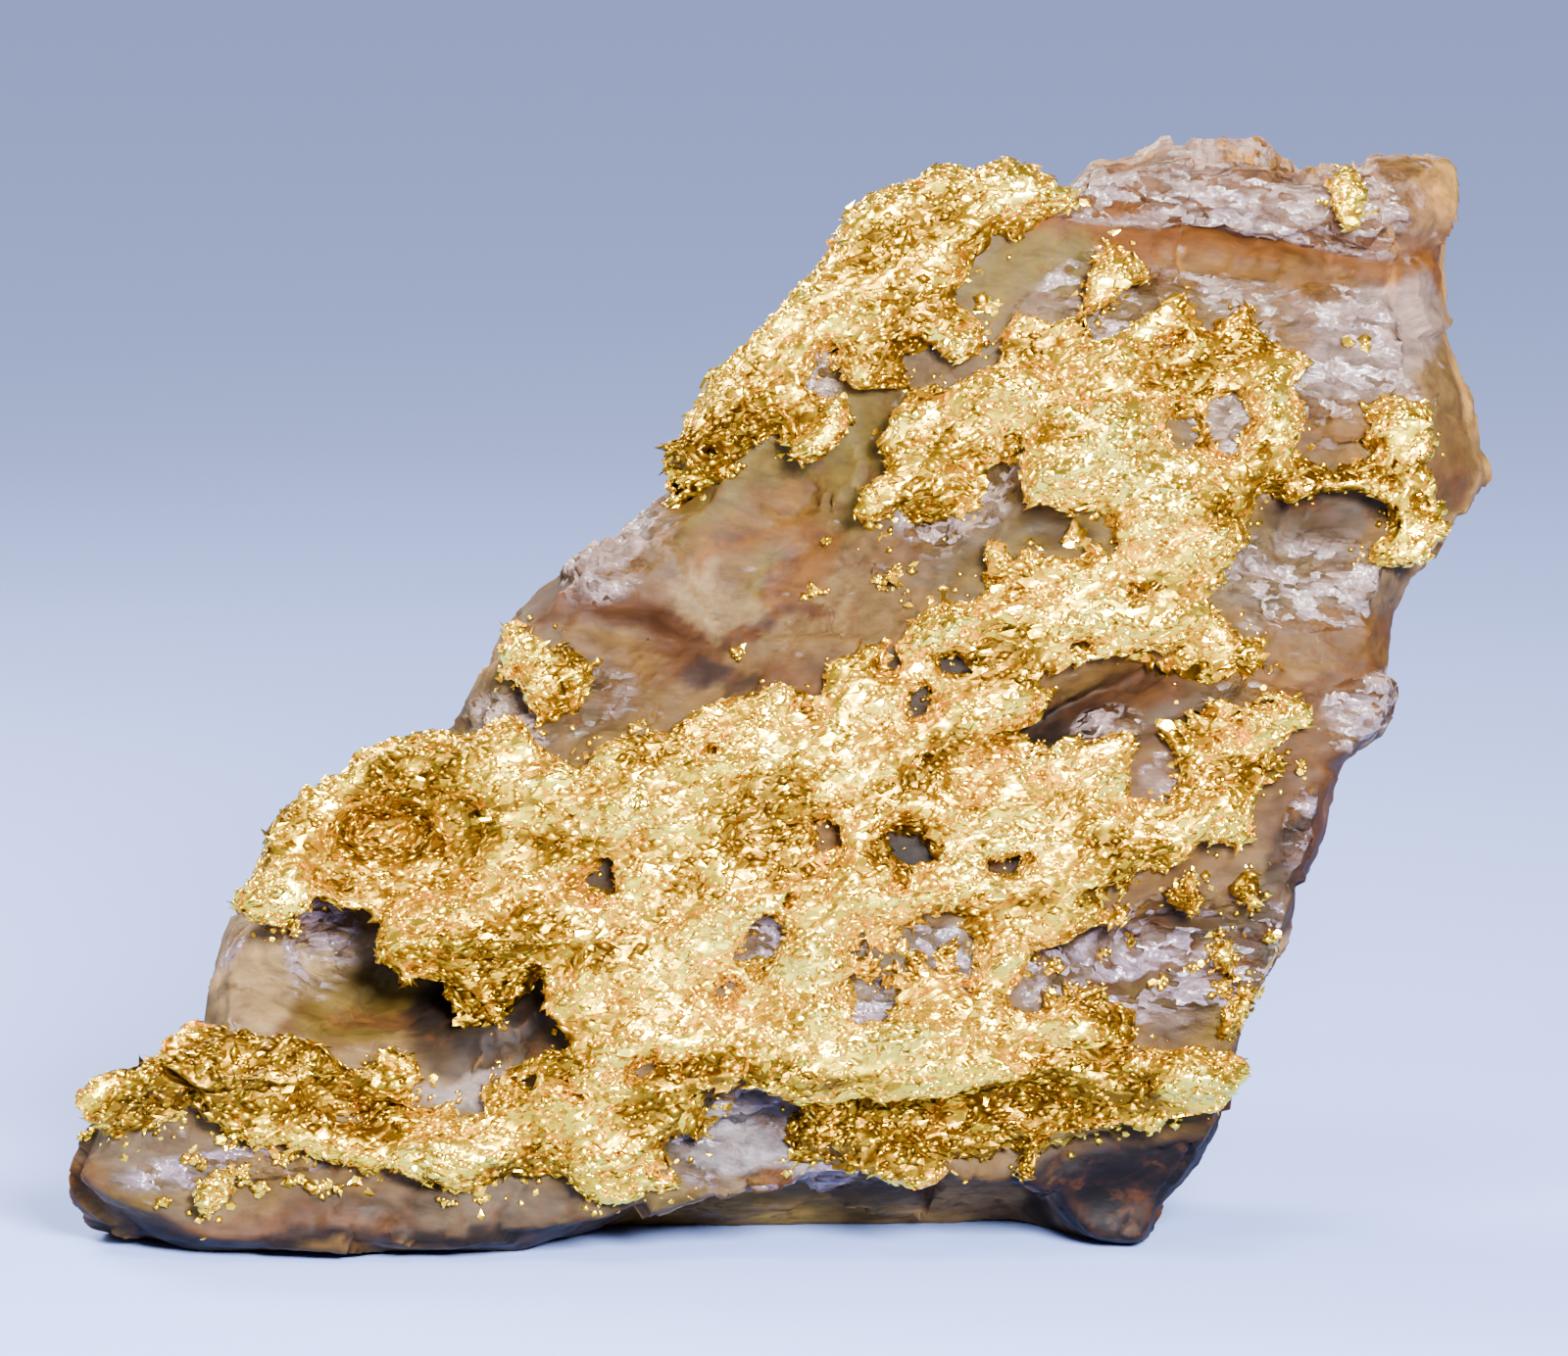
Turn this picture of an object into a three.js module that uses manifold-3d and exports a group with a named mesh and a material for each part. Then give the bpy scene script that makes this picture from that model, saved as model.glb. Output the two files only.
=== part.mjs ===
// A hand specimen of vein quartz with a crust of crystallised native gold on its front face.
// Millimetres, +Z up, the gold-bearing face towards -Y. The quartz is one broken block; the gold is a
// thick continuous crust, a sheet wrapped over the upper left rim, and a few patches grown by themselves.
import * as THREE from "three";
import { ImprovedNoise } from "three/addons/math/ImprovedNoise.js";
import { mergeVertices } from "three/addons/utils/BufferGeometryUtils.js";
import Module from "manifold-3d";

// ---- driving dimensions ----
const FRONT_AT_FOOT = -4.4; // y of the front face at table height
const FRONT_LEAN = 0.13; // how far the front face leans back for each millimetre of height
const BACK_AT_FOOT = 4.6;
const BACK_LEAN = -0.07;
const FOOT_WIDTH = 18.6; // length of the front face's lower edge
const CREST_WIDTH = 9.6; // length of its upper edge
const FACE_LENGTH = 21; // slanting height between the two
const FRONT_BEVEL = 0.4; // how far the front face's rim is broken back all round
const SIDE_FACE_SHOWN = 0.9; // the upper right side face flares out this far past the front rim
const BACK_TAPER = { left: 1.7, right: 1.5, top: 1.3 };
const SEAT = 0.3; // clearance between the quartz and the gold that sits on it
const CRUST_THICKNESS = 0.6;
const CRUST_EDGE = 0.28; // thickness of a crust at its ragged edge
const PATCH_THICKNESS = 0.45;
const CRUST_OVERHANG = 0.5; // a crust goes this far behind the face where it hangs over a hollow or a rim
const CREST_OVERHANG = 1.2; // the crest sheet wraps further over the rim
const BODY_STEPS = { across: 24, up: 26, deep: 6 };
const CRUST_STEP = 0.8; // size of the facets on the crusts
const PATCH_STEP = 0.35;
const CUTTER_DEPTH = 30; // deeper than the block

// ---- outline of the block seen from the front: x, z, each edge read left to right or upwards ----
const LOWER_EDGE = [
  [-12.2, 1.6], [-11.93, 1.33], [-11.5, 0.93], [-10.63, 0.69], [-10.33, 0.38], [-9.4, 0.24], [-8.3, 0.2],
  [-7.0, 0.2], [-5.9, 0.15], [-4.67, 0.25], [-3.2, 0.68], [-2.0, 1.0], [-0.73, 1.2], [0.54, 1.33],
  [1.9, 1.45], [3.2, 1.35], [4.2, 1.15], [4.8, 0.6], [5.15, 0.15], [5.6, 0], [6.3, 0],
];
const LEFT_EDGE = [
  [-12.2, 1.6], [-12.1, 2.2], [-11.6, 2.6], [-10.7, 3.0], [-10.2, 3.45], [-9.85, 3.8], [-9.8, 4.75],
  [-9.68, 5.47], [-9.3, 5.7], [-8.85, 5.95], [-8.5, 6.25], [-8.25, 6.8], [-7.85, 7.15], [-7.4, 7.55],
  [-7.0, 7.95], [-6.2, 8.3], [-5.8, 8.6], [-5.3, 9.75], [-5.09, 10.48], [-4.84, 10.87], [-3.96, 11.32],
  [-3.33, 11.96], [-2.77, 12.5], [-2.3, 12.7], [-1.75, 12.95], [-1.4, 13.5], [-0.95, 14.0], [-0.3, 14.95],
  [0.45, 15.7], [1.1, 16.35], [1.5, 17.0], [1.95, 17.45], [2.4, 17.75],
];
const TOP_EDGE = [
  [2.4, 17.75], [2.9, 17.85], [4.45, 17.8], [4.95, 18.15], [5.35, 18.7], [5.8, 18.64], [6.37, 18.92],
  [7.2, 18.82], [8.03, 18.85], [8.6, 18.56], [9.3, 18.4], [9.7, 18.39], [10.1, 18.65], [10.86, 18.76],
  [11.6, 18.65],
];
const RIGHT_EDGE = [
  [6.3, 0], [6.7, 0.79], [7.33, 1.63], [7.68, 2.47], [7.9, 3.46], [8.0, 4.08], [8.56, 4.7], [8.98, 5.45],
  [8.86, 6.18], [9.05, 6.4], [9.36, 7.06], [9.17, 7.5], [9.4, 7.98], [9.3, 8.17], [9.63, 8.63],
  [10.36, 9.05], [10.55, 9.43], [10.5, 10.0], [10.77, 10.5], [11.0, 11.23], [11.5, 11.84], [11.8, 12.4],
  [12.26, 12.86], [12.17, 13.4], [12.0, 14.6], [11.78, 15.4], [11.56, 16.2], [11.63, 17.1],
  [11.82, 17.87], [11.6, 18.65],
];

// ---- relief of the front face: where, reach along and across, turn in degrees, how far it stands out ----
const SWELLS = [
  { x: 1.5, z: 8.2, along: 7.5, across: 5, turn: 25, out: 1.2 }, // the middle of the face
  { x: 5.2, z: 13.6, along: 3.2, across: 2.2, turn: -20, out: 0.7 },
  { x: -6.8, z: 7.2, along: 1.7, across: 0.9, turn: -15, out: -1.1 }, // basin in the left of the crust
  { x: -10.2, z: 3.2, along: 2.2, across: 0.8, turn: 5, out: 0.7 }, // ridge along the toe
  { x: -7.6, z: 2.7, along: 1.4, across: 0.35, turn: -15, out: -0.5 },
  { x: 1.5, z: 3.7, along: 5.5, across: 0.8, turn: 4, out: 0.8 }, // ridge above the lower lip
  { x: 2.4, z: 2.4, along: 2.6, across: 0.6, turn: 0, out: -0.7 }, // fold under that ridge
  { x: 5.0, z: 3.7, along: 1.1, across: 0.35, turn: -20, out: -0.5 },
  { x: 7.1, z: 3.2, along: 1.1, across: 0.8, turn: 0, out: 0.8 }, // lobe at the right foot
  { x: 4.9, z: 9.5, along: 2.2, across: 0.45, turn: 27, out: -0.8 }, // groove between two tiers of crust
  { x: 9.6, z: 15.4, along: 2.0, across: 1.2, turn: -15, out: 0.3 },
  { x: 8.2, z: 18.0, along: 4.2, across: 0.7, turn: -5, out: 0.6 }, // ledges under the crest
  { x: 8.2, z: 17.0, along: 3.6, across: 0.4, turn: -8, out: -0.4 },
];
const HOLLOWS = [
  { x: 0.2, z: 12.7, along: 2.6, across: 1.5, turn: 48, out: -1.0 }, // bare window at the upper left
  { x: -2.7, z: 10.7, along: 2.0, across: 0.5, turn: -25, out: -0.5 },
  { x: -4.0, z: 9.5, along: 1.6, across: 0.8, turn: 15, out: -0.6 },
  { x: -6.9, z: 4.9, along: 2.7, across: 1.0, turn: -6, out: -2.6 }, // deep hollow under the shelf
  { x: -5.2, z: 3.1, along: 1.1, across: 0.5, turn: 0, out: -0.6 },
  { x: -0.8, z: 2.6, along: 0.9, across: 0.5, turn: 0, out: -0.6 },
  { x: 6.4, z: 5.3, along: 1.9, across: 0.8, turn: 5, out: -0.8 }, // bare step at the lower right
  { x: 5.6, z: 0.5, along: 2.4, across: 1.1, turn: 5, out: -1.5 }, // undercut of the right foot
  { x: 9.2, z: 12.6, along: 1.5, across: 0.6, turn: 0, out: -0.9 },
  { x: 3.0, z: 13.2, along: 1.2, across: 0.6, turn: 55, out: -0.5 },
];
const CRUST_LUMPS = [
  { x: -6.0, z: 5.6, along: 2.7, across: 0.6, turn: -8, out: 0.9 }, // overhanging shelf
  { x: -4.6, z: 5.5, along: 0.8, across: 0.6, turn: 0, out: 0.5 },
  { x: -8.4, z: 3.4, along: 1.8, across: 0.45, turn: -12, out: 0.5 },
  { x: -2.6, z: 8.2, along: 1.1, across: 0.9, turn: 30, out: 0.45 },
  { x: 2.6, z: 11.4, along: 1.2, across: 0.7, turn: 20, out: 0.4 },
  { x: 5.5, z: 14.4, along: 1.3, across: 1.0, turn: -30, out: 0.4 },
  { x: 8.3, z: 15.0, along: 0.6, across: 0.7, turn: 0, out: 0.3 },
  { x: 1.6, z: 6.6, along: 1.4, across: 0.7, turn: 10, out: 0.35 },
  { x: 5.6, z: 7.4, along: 1.2, across: 0.8, turn: 20, out: 0.35 },
  { x: 7.2, z: 3.2, along: 0.7, across: 0.6, turn: 0, out: 0.35 },
  { x: 10.7, z: 13.4, along: 0.5, across: 0.9, turn: 0, out: 0.3 },
  { x: -3.0, z: 1.8, along: 1.6, across: 0.4, turn: -5, out: 0.35 },
];

// ---- fracture faces that end the block behind: a point on each, and the way it faces ----
const FRACTURES = [
  { at: [-6, 4.6, 5], facing: [-0.35, 1, 0.25] },
  { at: [-9, 2.0, 3], facing: [-0.95, 0.75, 0.35] },
  { at: [2, 4.9, 9], facing: [0.12, 1, 0.1] },
  { at: [8, 3.4, 14], facing: [0.35, 1, 0.35] },
  { at: [11.2, 1.8, 14.5], facing: [1, 0.55, 0.1] },
  { at: [7.4, 3.0, 3], facing: [0.8, 1, -0.45] },
  { at: [1.5, 2.6, 17], facing: [-0.5, 0.7, 1] },
  { at: [-4.5, 3.2, 9.6], facing: [-1, 0.9, 0.75] },
];
// Shell-shaped hollows struck out of the back and the sides: centre and radius of each.
const SHELL_HOLLOWS = [
  { at: [-2.5, 12.4, 5.5], radius: 8.4 },
  { at: [6.2, 11.6, 10], radius: 8.0 },
  { at: [15.4, 0.6, 7.6], radius: 6.3 },
  { at: [-9.6, 8.4, 7.4], radius: 5.6 },
];

// ---- outlines of the gold: x, z ----
const MAIN_CRUST = [
  [-11.95, 2.9], [-10.2, 4.17], [-8.2, 3.9], [-7.3, 3.4], [-6.95, 3.5], [-6.95, 3.85], [-6.7, 3.8],
  [-6.1, 3.45], [-6.3, 3], [-5.9, 2.6], [-5.4, 2.55], [-4.5, 2.95], [-4.2, 3.2], [-4.35, 3.5],
  [-4.15, 3.7], [-3.6, 3.8], [-4.1, 4.9], [-3.95, 5.3], [-5.2, 4.6], [-6.1, 4.85], [-6.5, 4.65],
  [-7, 5.3], [-7, 5.8], [-7.2, 6], [-7.6, 5.95], [-8, 6.25], [-8.5, 5.75], [-8.9, 5.8], [-9.3, 6.1],
  [-8.78, 6.8], [-8.87, 7.28], [-7.1, 8.76], [-5.23, 9.1], [-4.95, 9.35], [-4.67, 9.3], [-3.97, 8.62],
  [-3.54, 8.5], [-3.26, 8.66], [-3.2, 8.94], [-2.63, 9.26], [-2.2, 9.15], [-1.15, 9.75], [-0.03, 9.92],
  [0.6, 9.7], [0.6, 10.06], [1.1, 10.6], [1.7, 10.9], [1.86, 11.2], [2.2, 11.3], [2.35, 11.6],
  [3.05, 11.9], [3.26, 11.7], [3.47, 12], [3.4, 12.42], [3.68, 12.37], [3.75, 12], [4.1, 12],
  [4.15, 12.4], [4.5, 12.5], [5, 12.4], [5.2, 12.05], [5.45, 12.3], [5.4, 12.75], [4.1, 12.95],
  [4.1, 14.1], [3.8, 14.3], [3, 13.4], [1.3, 12.73], [1.44, 13.15], [1.9, 13.6], [1.65, 13.9],
  [2.2, 14.85], [2.8, 14.85], [3.4, 15.15], [3.75, 15.45], [3.65, 15.75], [4, 16.1], [4.8, 16.1],
  [5, 15.8], [5.5, 15.6], [6.6, 16.5], [6.9, 16.5], [7, 16.1], [7.3, 15.8], [7.4, 16.1], [7.9, 16.4],
  [8.4, 15.5], [8.8, 15.5], [9, 15.3], [8.7, 15], [8.85, 14.6], [8.6, 13.8], [9.26, 13.42], [9.7, 13.46],
  [10.2, 13.65], [10.13, 13.98], [10.4, 14.62], [11.05, 14.36], [11.34, 12.48], [10.86, 12], [9.97, 12],
  [9.97, 12.2], [10.3, 12.38], [10.4, 12.64], [9.97, 13.15], [9.07, 13.05], [8.63, 12.83], [8.53, 13.05],
  [8.2, 13], [8.2, 12.6], [7.6, 11.9], [7.6, 11.6], [7.2, 11.35], [7.8, 10.7], [8.1, 10.7], [8.2, 10.4],
  [7.9, 10.2], [6.2, 10.1], [4.5, 9.4], [3.6, 8.8], [5.8, 9.05], [6.1, 8.6], [6.05, 8.1], [6.3, 7.9],
  [6.65, 8.1], [6.7, 8.7], [7.2, 9.5], [8.7, 9.7], [9, 9.5], [9, 9.2], [8.4, 8.8], [8.7, 8.4], [8, 7.8],
  [8, 7.4], [7.8, 7.2], [7, 7.1], [6.6, 6.6], [6, 6.8], [6, 6], [5.7, 5.75], [4.05, 5.65], [3.95, 5.2],
  [3.9, 4.75], [4.2, 4.35], [5.4, 4.88], [5.95, 4.3], [6.2, 3.5], [6.95, 3.85], [7.8, 3.73], [7.9, 3.4],
  [7.5, 2.7], [6.95, 2.7], [6.2, 2.28], [5.9, 2.4], [4.8, 2.05], [4.4, 1.9], [4.1, 1.45], [4, 2], [3, 2],
  [2.6, 1.42], [2.3, 1.37], [1.6, 1.5], [1.4, 2], [0.5, 1.95], [0.15, 2.1], [0.15, 2.9], [-0.5, 3.05],
  [-1.5, 3], [-1.55, 2.75], [-1.15, 2.3], [-2, 1.95], [-1.75, 1.4], [-2.7, 1.1], [-4.3, 1.65],
  [-5.7, 1.4], [-6.1, 1.6], [-7.6, 1.65], [-7.9, 1.95], [-9, 2.2], [-9.2, 2.45], [-9.6, 2.3],
  [-9.9, 2.5], [-9.8, 2.9], [-10.1, 3.05], [-11, 2.9], [-11.4, 2.4], [-11.8, 2.55],
];
const CREST_SHEET = [
  [4.9, 18.2], [4, 18.47], [2.6, 18.5], [1.52, 18], [0.98, 17.48], [0.63, 16.78], [-0.83, 15.35],
  [-2.18, 13.54], [-2, 13.4], [-0.7, 14.1], [-0.5, 13.9], [-0.1, 14.4], [0.2, 13.6], [0.5, 13.6],
  [0.6, 13.9], [1.1, 14.4], [1, 14.6], [0.4, 14.6], [0.3, 14.9], [0.5, 15.7], [0.9, 15.75], [1.3, 14.9],
  [2, 15.1], [2, 15.6], [2.3, 15.8], [2.9, 15.4], [3.2, 15.6], [3.25, 15.9], [2.8, 16.4], [3.1, 16.7],
  [3.2, 17.4], [3.9, 17.5], [4.4, 18],
];
const LEFT_PATCH = [
  [-4.9, 10.75], [-4.55, 11], [-3.3, 10.13], [-3.97, 9.6], [-4.25, 9.68], [-4.6, 9.92],
];
const TOP_PATCH = [
  [5.1, 16.45], [5.2, 16.75], [5.45, 17.0], [5.85, 17.02], [6.15, 16.85], [5.9, 16.6], [5.75, 16.35],
  [5.35, 16.3],
];
// Openings in the main crust where the quartz shows: x, z, width, height, turn in degrees.
const MAIN_WINDOWS = [
  [6.8, 14.2, 0.55, 0.4, 10], [7.65, 14.35, 0.8, 1.0, -15], [5.07, 10.6, 0.42, 0.32, 0],
  [2.95, 10.35, 0.5, 0.35, 10], [2.3, 9.7, 0.55, 0.4, 25], [1.75, 10.35, 0.35, 0.55, 20],
  [0.75, 7.48, 0.32, 0.42, 10], [2.2, 7.2, 0.7, 0.6, -30], [3.8, 6.95, 0.7, 0.5, 15],
  [-3.1, 6.65, 0.75, 0.85, 0], [-0.4, 5.5, 0.6, 0.85, 15], [-0.9, 4.85, 0.35, 0.35, 0],
  [1.45, 4.7, 0.8, 0.5, 0], [1.3, 5.55, 0.7, 0.42, -30], [2.5, 5.85, 0.9, 0.42, 10],
  [3.2, 5.35, 0.32, 0.85, 0],
];

// Small patches of gold that stand alone: name, x, z, width, height, turn in degrees.
const SMALL_PATCHES = [
  ["gold_patch_crest", 9.58, 18.1, 0.5, 0.95, 10], ["gold_patch_window", 1.68, 11.75, 0.42, 0.42, 0],
  ["gold_patch_toe_lower", -9.65, 1.3, 0.5, 0.65, -20], ["gold_patch_right_upper", 7.95, 6.25, 0.6, 0.5, 20],
  ["gold_patch_right_inner", 6.95, 6.1, 0.45, 0.5, 0], ["gold_patch_right_middle", 7.5, 5.35, 0.45, 0.6, 15],
  ["gold_patch_right_lower", 7.75, 4.45, 0.75, 0.5, 30],
];

const wasm = await Module();
wasm.setup();
const noise = new ImprovedNoise();

const lerp = THREE.MathUtils.lerp;
const radians = THREE.MathUtils.degToRad;
const ramp = (value, from, to) => THREE.MathUtils.smoothstep(value, from, to);

// ---- solids ----

// A geometry with its vertices merged by place, so that neighbouring faces share them.
function weld(geometry) {
  const bare = geometry.clone();
  bare.deleteAttribute("normal");
  bare.deleteAttribute("uv");
  return mergeVertices(bare, 1e-4);
}

function solidOf(geometry) {
  const welded = weld(geometry);
  const vertProperties = new Float32Array(welded.attributes.position.array);
  const triVerts = new Uint32Array(welded.index.array);
  return new wasm.Manifold(new wasm.Mesh({ numProp: 3, vertProperties, triVerts }));
}

function geometryOf(solid) {
  const mesh = solid.getMesh();
  const geometry = new THREE.BufferGeometry();
  geometry.setAttribute("position", new THREE.BufferAttribute(mesh.vertProperties, 3));
  geometry.setIndex(new THREE.BufferAttribute(mesh.triVerts, 1));
  geometry.computeVertexNormals();
  return geometry;
}

// Cutting can leave crumbs: the piece itself is the largest body.
function largestBody(solid) {
  return solid.decompose().reduce((a, b) => (a.volume() > b.volume() ? a : b));
}

// Every vertex moved by a function of its place.
function reshaped(geometry, place) {
  const position = geometry.attributes.position;
  const point = new THREE.Vector3();
  for (let i = 0; i < position.count; i++) {
    point.fromBufferAttribute(position, i);
    position.setXYZ(i, ...place(point).toArray());
  }
  return geometry;
}

// Every vertex moved outwards along its normal.
function grown(geometry, by) {
  const swollen = geometry.clone();
  swollen.computeVertexNormals();
  const position = swollen.attributes.position;
  const point = new THREE.Vector3();
  const normal = new THREE.Vector3();
  for (let i = 0; i < position.count; i++) {
    point.fromBufferAttribute(position, i);
    normal.fromBufferAttribute(swollen.attributes.normal, i);
    point.addScaledVector(normal, by);
    position.setXYZ(i, point.x, point.y, point.z);
  }
  return swollen;
}

// ---- relief of the front face ----

function reliefAt(features, x, z) {
  let out = 0;
  for (const feature of features) {
    const turn = radians(feature.turn);
    const dx = x - feature.x;
    const dz = z - feature.z;
    const p = (dx * Math.cos(turn) + dz * Math.sin(turn)) / feature.along;
    const q = (dz * Math.cos(turn) - dx * Math.sin(turn)) / feature.across;
    out += feature.out * Math.exp(-p * p - q * q);
  }
  return out;
}

// The face as it would be without its hollows: the surface that the crust grew over.
function faceAt(x, z) {
  return FRONT_AT_FOOT + FRONT_LEAN * z - reliefAt(SWELLS, x, z);
}

function quartzFrontAt(x, z) {
  const chips = 0.22 * noise.noise(x * 0.9, 3.1, z * 0.9) + 0.12 * noise.noise(x * 2.1, 7.7, z * 2.1);
  return faceAt(x, z) - reliefAt(HOLLOWS, x, z) - chips;
}

function backAt(x, z) {
  return BACK_AT_FOOT + BACK_LEAN * z + 0.5 * noise.noise(x * 0.35, 11.3, z * 0.35);
}

// ---- the block ----

const outlinePath = (points) => new THREE.Path(points.map(([x, z]) => new THREE.Vector2(x, z)));
const lowerEdge = outlinePath(LOWER_EDGE);
const leftEdge = outlinePath(LEFT_EDGE);
const topEdge = outlinePath(TOP_EDGE);
const rightEdge = outlinePath(RIGHT_EDGE);

// A point of the outline's inside, from its share of the way across and up: a patch between four edges.
function insideOutline(across, up) {
  const low = lowerEdge.getPoint(across);
  const high = topEdge.getPoint(across);
  const left = leftEdge.getPoint(up);
  const right = rightEdge.getPoint(up);
  const corner = (edge, end) => edge.getPoint(end);
  const blend = (key) =>
    lerp(low[key], high[key], up) +
    lerp(left[key], right[key], across) -
    lerp(
      lerp(corner(lowerEdge, 0)[key], corner(lowerEdge, 1)[key], across),
      lerp(corner(topEdge, 0)[key], corner(topEdge, 1)[key], across),
      up,
    );
  return { x: blend("x"), z: blend("y") };
}

// From where to where the underside goes down to the table, as shares of the depth: the toe rises from it, and
// the lip in the middle roofs a hollow.
function undercutAt(x) {
  const toe = 1 - ramp(x, -11.6, -9.8);
  const hollow = ramp(x, -5.0, -2.2) * (1 - ramp(x, 4.2, 5.4));
  return { from: 0.22 * hollow, to: 0.06 + 0.5 * toe + 0.54 * hollow };
}

// The block from a unit box: across, up and deep run from 0 to 1.
function blockPoint(across, up, deep) {
  const broken = ramp(deep, 0.3, 0.75);
  const front = 1 - ramp(deep, 0, 0.13);
  const ledges = (seed) => broken * 0.45 * (1 + noise.noise(up * 9 + seed, deep * 3, across * 5 + seed));
  const flare = SIDE_FACE_SHOWN * ramp(up, 0.5, 0.66) * (1 - ramp(deep, 0, 0.3));
  const width = lerp(FOOT_WIDTH, CREST_WIDTH, up);
  const taper = deep * deep;
  const left = (FRONT_BEVEL * front + BACK_TAPER.left * taper + ledges(2.3)) / width;
  const right = (FRONT_BEVEL * 0.6 * front + flare + BACK_TAPER.right * taper + ledges(8.1)) / width;
  const top = (FRONT_BEVEL * 0.7 * front + BACK_TAPER.top * taper + ledges(5.7)) / FACE_LENGTH;
  const low = (FRONT_BEVEL * 0.4 * front) / FACE_LENGTH;
  const place = insideOutline(left + (1 - left - right) * across, low + (1 - low - top) * up);

  const lip = lowerEdge.getPoint(across).y;
  const undercut = undercutAt(place.x);
  const tucked = ramp(deep, undercut.from, undercut.to);
  const nearFoot = Math.pow(1 - up, 9);
  const z = Math.max(0, place.z - (lip + 0.35) * tucked * nearFoot);
  const y = lerp(quartzFrontAt(place.x, z), backAt(place.x, z), deep);
  return new THREE.Vector3(place.x, y, z);
}

function blockGeometry() {
  const { across, up, deep } = BODY_STEPS;
  const box = weld(new THREE.BoxGeometry(1, 1, 1, across, up, deep));
  return reshaped(box, (p) => blockPoint(p.x + 0.5, p.y + 0.5, 0.5 - p.z));
}

// A half space behind a plane, as a large box.
function halfSpace({ at, facing }) {
  const side = 60;
  const box = new THREE.BoxGeometry(side, side, side);
  box.translate(0, 0, side / 2);
  const outward = new THREE.Vector3(...facing).normalize();
  box.applyQuaternion(new THREE.Quaternion().setFromUnitVectors(new THREE.Vector3(0, 0, 1), outward));
  box.translate(...at);
  return solidOf(box);
}

function shellHollow({ at, radius }) {
  const ball = new THREE.IcosahedronGeometry(radius, 5);
  ball.translate(...at);
  return solidOf(ball);
}

function quartzMatrix(block) {
  let solid = solidOf(block);
  FRACTURES.forEach((fracture) => {
    solid = solid.subtract(halfSpace(fracture));
  });
  SHELL_HOLLOWS.forEach((hollow) => {
    solid = solid.subtract(shellHollow(hollow));
  });
  return largestBody(solid);
}

// ---- the gold ----

const outlinePoints = (points) => points.map(([x, z]) => new THREE.Vector2(x, z));

// A small uneven ring of points, for a patch or a window.
function raggedRing(x, z, width, height, turn) {
  const corners = 7;
  const spin = radians(turn);
  return Array.from({ length: corners }, (_, i) => {
    const angle = (i / corners) * Math.PI * 2;
    const reach = 0.5 * (1 + 0.25 * Math.sin(5 * angle + x * 3 + z));
    const dx = Math.cos(angle) * width * reach;
    const dz = Math.sin(angle) * height * reach;
    return new THREE.Vector2(
      x + dx * Math.cos(spin) - dz * Math.sin(spin),
      z + dx * Math.sin(spin) + dz * Math.cos(spin),
    );
  });
}

function distanceToRing(ring, x, z) {
  const point = new THREE.Vector3(x, z, 0);
  const nearest = new THREE.Vector3();
  let distance = Infinity;
  ring.forEach((corner, i) => {
    const next = ring[(i + 1) % ring.length];
    const start = new THREE.Vector3(corner.x, corner.y, 0);
    const end = new THREE.Vector3(next.x, next.y, 0);
    new THREE.Line3(start, end).closestPointToPoint(point, true, nearest);
    distance = Math.min(distance, nearest.distanceTo(point));
  });
  return distance;
}

function isInside(ring, x, z) {
  let inside = false;
  ring.forEach((corner, i) => {
    const next = ring[(i + 1) % ring.length];
    const spans = corner.y > z !== next.y > z;
    if (spans && x < lerp(corner.x, next.x, (z - corner.y) / (next.y - corner.y))) inside = !inside;
  });
  return inside;
}

// How far a place lies inside an outline and clear of its windows; 0 outside.
function depthInside(outline, windows, x, z) {
  if (!isInside(outline, x, z) || windows.some((ring) => isInside(ring, x, z))) return 0;
  return Math.min(...[outline, ...windows].map((ring) => distanceToRing(ring, x, z)));
}

// Gold over the face, inside an outline and around its windows, cut to sit clear of the quartz.
function crust(outline, { windows = [], thickness, overhang = CRUST_OVERHANG, step }) {
  const shape = new THREE.Shape(outline);
  windows.forEach((ring) => shape.holes.push(new THREE.Path(ring)));
  const bounds = new THREE.Box2().setFromPoints(outline).expandByScalar(step);
  const size = bounds.getSize(new THREE.Vector2());
  const centre = bounds.getCenter(new THREE.Vector2());

  const columns = Math.ceil(size.x / step);
  const rows = Math.ceil(size.y / step);
  const sheet = new THREE.BoxGeometry(size.x, size.y, 1, columns, rows, 1);
  sheet.translate(centre.x, centre.y, 0);
  const layer = reshaped(weld(sheet), (p) => {
    const lumps = reliefAt(CRUST_LUMPS, p.x, p.y) + 0.35 * noise.noise(p.x * 1.3, 4.2, p.y * 1.3);
    const full = Math.max(CRUST_EDGE, thickness + lumps);
    const high = lerp(CRUST_EDGE, full, ramp(depthInside(outline, windows, p.x, p.y), 0, 0.5));
    const front = Math.min(faceAt(p.x, p.y), quartzFrontAt(p.x, p.y)) - SEAT - high;
    const back = faceAt(p.x, p.y) + overhang * (1 + 0.6 * noise.noise(p.x * 0.8, 9.1, p.y * 0.8));
    return new THREE.Vector3(p.x, p.z > 0 ? front : back, p.y);
  });

  const cutter = new THREE.ExtrudeGeometry(shape, { depth: CUTTER_DEPTH, steps: 1, bevelEnabled: false });
  cutter.translate(0, 0, -CUTTER_DEPTH / 2);
  cutter.rotateX(Math.PI / 2);
  return largestBody(solidOf(layer).intersect(solidOf(cutter)).subtract(seat));
}

// ---- the specimen ----

const quartz = new THREE.MeshStandardMaterial({ color: 0xb79a7c, roughness: 0.4, metalness: 0 });
const gold = new THREE.MeshStandardMaterial({ color: 0xe3a72c, roughness: 0.35, metalness: 1 });

function named(name, solid, material) {
  const mesh = new THREE.Mesh(geometryOf(solid), material);
  mesh.name = name;
  return mesh;
}

const block = blockGeometry();
const seat = solidOf(grown(block, SEAT));
const pieces = new THREE.Group();
pieces.add(named("quartz_matrix", quartzMatrix(block), quartz));

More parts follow.
